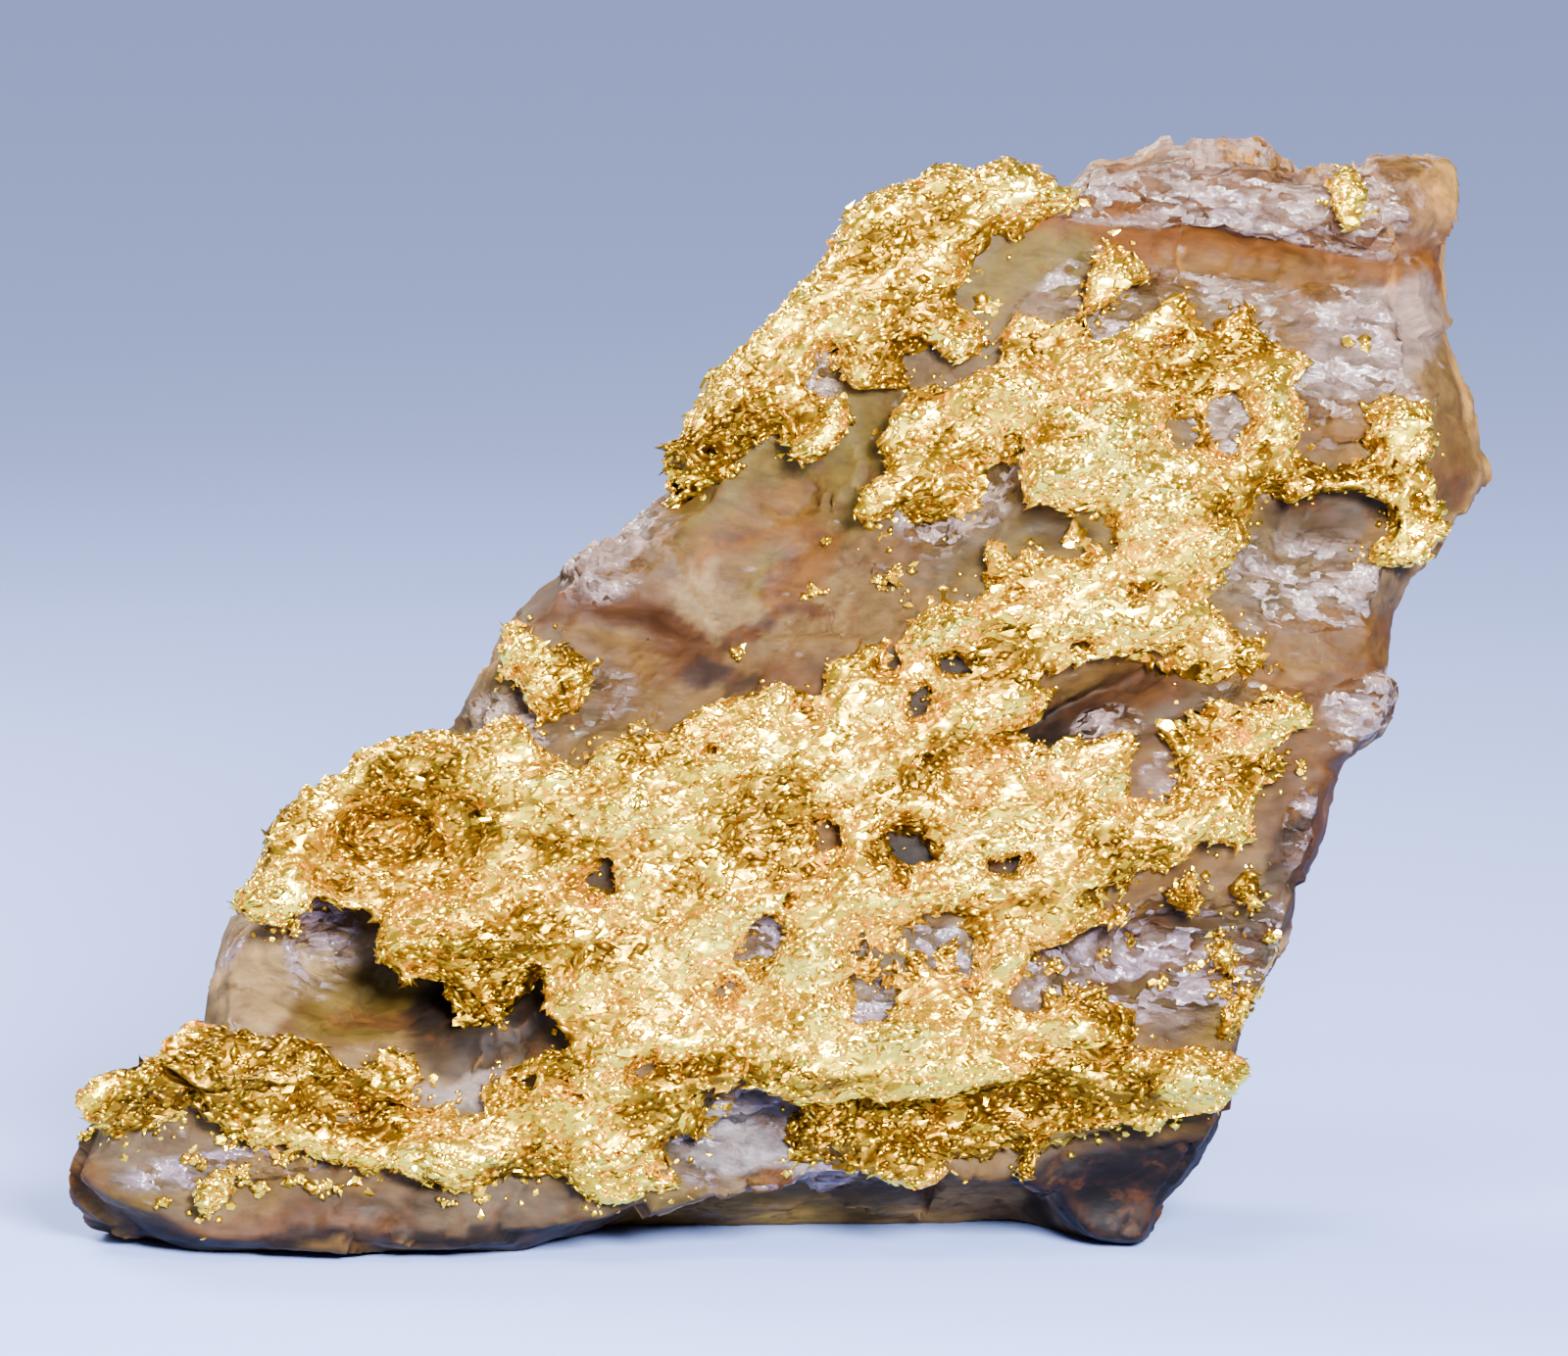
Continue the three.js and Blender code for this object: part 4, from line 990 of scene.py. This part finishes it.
def quartz_colour(nodes, places, layered, broken, white, cracks):
    """The painted stains, mottled, with white flakes, rusty specks, pale spots that are painted glints,
    and rusty cracks.
    """
    stain = nodes.painted("stain")
    colour = nodes.mottled(stain, nodes.noise(places, 0.45, 5), (0.5, 1.5))
    colour = nodes.mottled(colour, nodes.noise(layered, 0.22, 4, 0.65), (0.6, 1.4), 0.3, 0.7)
    colour = nodes.mottled(colour, nodes.noise(layered, 0.06, 3), (0.55, 1.45), share=broken)
    share = nodes.math("MULTIPLY", white, 0.8)
    colour = nodes.mix("MIX", share, colour, flake_colour(nodes, places, layered))
    rusty = nodes.range(nodes.noise(places, 0.5, 5, 0.65), 0.0, 0.6, 0.56, 0.66)
    colour = nodes.mix("MIX", rusty, colour, STAIN["rust"])
    # Painted glints: rare pale spots of flake white on the plainer stains.
    painted_glints = nodes.range(nodes.noise(layered, 0.28, 3), 0.0, 0.55, 0.66, 0.72)
    painted_glints = nodes.math("MULTIPLY", painted_glints, nodes.range(stain, 0.0, 1.0, 0.012, 0.023))
    colour = nodes.mix("MIX", painted_glints, colour, FLAKE_WHITE)
    return nodes.mix("MIX", nodes.math("MULTIPLY", cracks, 0.6), colour, STAIN["rust"])


def quartz_relief(nodes, layered, broken, flakes, cracks):
    """Hackle, flakes where it is flaky, and grooves along the cracks, in mm."""
    rugged = nodes.range(broken, 0.012, 0.04)
    hackle = nodes.math("MULTIPLY", nodes.noise(layered, 0.12, 4, 0.6), rugged)
    relief = nodes.math("ADD", hackle, nodes.math("MULTIPLY", flakes, broken))
    return nodes.math("ADD", relief, nodes.math("MULTIPLY", cracks, -0.008))


def quartz_material():
    nodes = Nodes("vein_quartz")
    places, layered = nodes.places(), nodes.places(**LAYERING)
    broken = nodes.range(nodes.painted("flaky"), 0.0, 1.0, 0.2, 0.6)
    flakes, own = tilted_cells(nodes, places, layered, FLAKE_SIZE, 0.22)
    white = white_flakes(nodes, layered, own, broken)
    cracks = hairline_cracks(nodes, places)
    normal = nodes.bump(quartz_relief(nodes, layered, broken, flakes, cracks))
    matt = nodes.range(nodes.noise(places, 0.6, 3), 0.5, 0.85)
    return nodes.finished({
        "Base Color": quartz_colour(nodes, places, layered, broken, white, cracks),
        "Roughness": nodes.math("MULTIPLY", matt, nodes.range(white, 1.0, 0.35)),
        "IOR": 1.55,
        "Specular IOR Level": 0.07,
        "Subsurface Weight": 0.4,
        "Subsurface Radius": (1.0, 0.5, 0.22),
        "Subsurface Scale": 0.6 * MM,
        "Coat Weight": nodes.range(white, 0.0, 0.45),
        "Coat Roughness": 0.14,
        "Normal": normal,
        "Coat Normal": normal,
    })


def gold_material():
    nodes = Nodes("crystallised_gold")
    places = nodes.places()
    tone = nodes.math("ADD", nodes.painted("tone"), nodes.range(nodes.noise(places, 0.18), -0.22, 0.22))
    glints, _ = tilted_cells(nodes, places, nodes.places(**FLOW), GLINT_SIZE, 0.1)
    return nodes.finished({
        "Base Color": nodes.gradient(tone, GOLD_COLOURS),
        "Metallic": 1.0,
        "Roughness": nodes.range(tone, 0.38, 0.17),
        "Normal": nodes.bump(glints, 0.5),
    })


quartz.data.materials.append(quartz_material())
gold = gold_material()
for obj in gold_objects:
    obj.data.materials.append(gold)

# ---- stage: camera, floor, background and lights ----

IMAGE_WIDTH = 1600  # pixels
PIXELS_PER_MM = 60
# The camera aims at this height in mm, this share of the way to the crust's front.
AIM_HEIGHT, AIM_SHARE = 9.97, 0.55
CAMERA_DISTANCE = 220  # mm
CAMERA_ELEVATION = 6.0  # degrees
SENSOR = 36  # mm
FLOOR_REACH = 3000  # mm each way
FLOOR_COLOUR = (0.195, 0.27, 0.61)
SKY_COLOUR, SKY_STRENGTH = (0.55, 0.46, 0.38), 0.7
LIT_PLACE = (0, 0, 9)  # where all lights aim
SUN_PLACE, SUN_STRENGTH, SUN_COLOUR = (-12, -60, 100), 3.9, (1.0, 0.99, 0.97)
SUN_WIDTH = 20  # degrees, for soft shadows
# Area lights: name, place and size in mm, watts, colour.
AREA_LIGHTS = [
    ("front", (28, -136, 50), (34, 25), 2.8, (0.95, 0.97, 1.0)),
    ("rim", (-60, 60, 80), (60, 40), 0.35, (1.0, 0.97, 0.92)),
    ("spark", (-60, -110, 75), (14, 14), 0.12, (0.95, 0.97, 1.0)),
]


def aimed(obj, place, target):
    obj.location = Vector(place) * MM
    obj.rotation_euler = (Vector(target) - Vector(place)).to_track_quat("-Z", "Y").to_euler()


def make_camera():
    data = bpy.data.cameras.new("camera")
    data.sensor_width = SENSOR
    data.lens = SENSOR * CAMERA_DISTANCE / (IMAGE_WIDTH / PIXELS_PER_MM)
    data.clip_start = MM
    data.clip_end = 10
    camera = bpy.data.objects.new("camera", data)
    bpy.context.scene.collection.objects.link(camera)
    bpy.context.scene.camera = camera
    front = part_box("gold_main_crust")[0].y / MM * AIM_SHARE
    target = Vector((SHIFT_X, front, AIM_HEIGHT))
    angle = math.radians(CAMERA_ELEVATION)
    place = target + CAMERA_DISTANCE * Vector((0, -math.cos(angle), math.sin(angle)))
    aimed(camera, place, target)


def new_light(name, kind, place, strength, colour):
    data = bpy.data.lights.new(name, kind)
    data.energy = strength
    data.color = colour
    light = bpy.data.objects.new(name, data)
    bpy.context.scene.collection.objects.link(light)
    aimed(light, place, LIT_PLACE)
    return data


def make_lights():
    """A soft sun, even over the whole floor, and area lights for the gold's shine and the back's rim."""
    sun = new_light("key", "SUN", SUN_PLACE, SUN_STRENGTH, SUN_COLOUR)
    sun.angle = math.radians(SUN_WIDTH)
    for name, place, (across, up), watts, colour in AREA_LIGHTS:
        area = new_light(name, "AREA", place, watts, colour)
        area.shape = "RECTANGLE"
        area.size, area.size_y = across * MM, up * MM


def make_stage():
    side = FLOOR_REACH * MM
    corners = [(-side, -side, 0), (side, -side, 0), (side, side, 0), (-side, side, 0)]
    mesh = bpy.data.meshes.new("floor")
    mesh.from_pydata(corners, [], [(0, 1, 2, 3)])
    floor = bpy.data.objects.new("floor", mesh)
    bpy.context.scene.collection.objects.link(floor)
    mesh.materials.append(Nodes("floor").finished({"Base Color": FLOOR_COLOUR, "Roughness": 0.9}))
    world = bpy.data.worlds.new("studio")
    world.use_nodes = True
    background = world.node_tree.nodes["Background"]
    background.inputs["Color"].default_value = (*SKY_COLOUR, 1)
    background.inputs["Strength"].default_value = SKY_STRENGTH
    bpy.context.scene.world = world


make_camera()
make_stage()
make_lights()
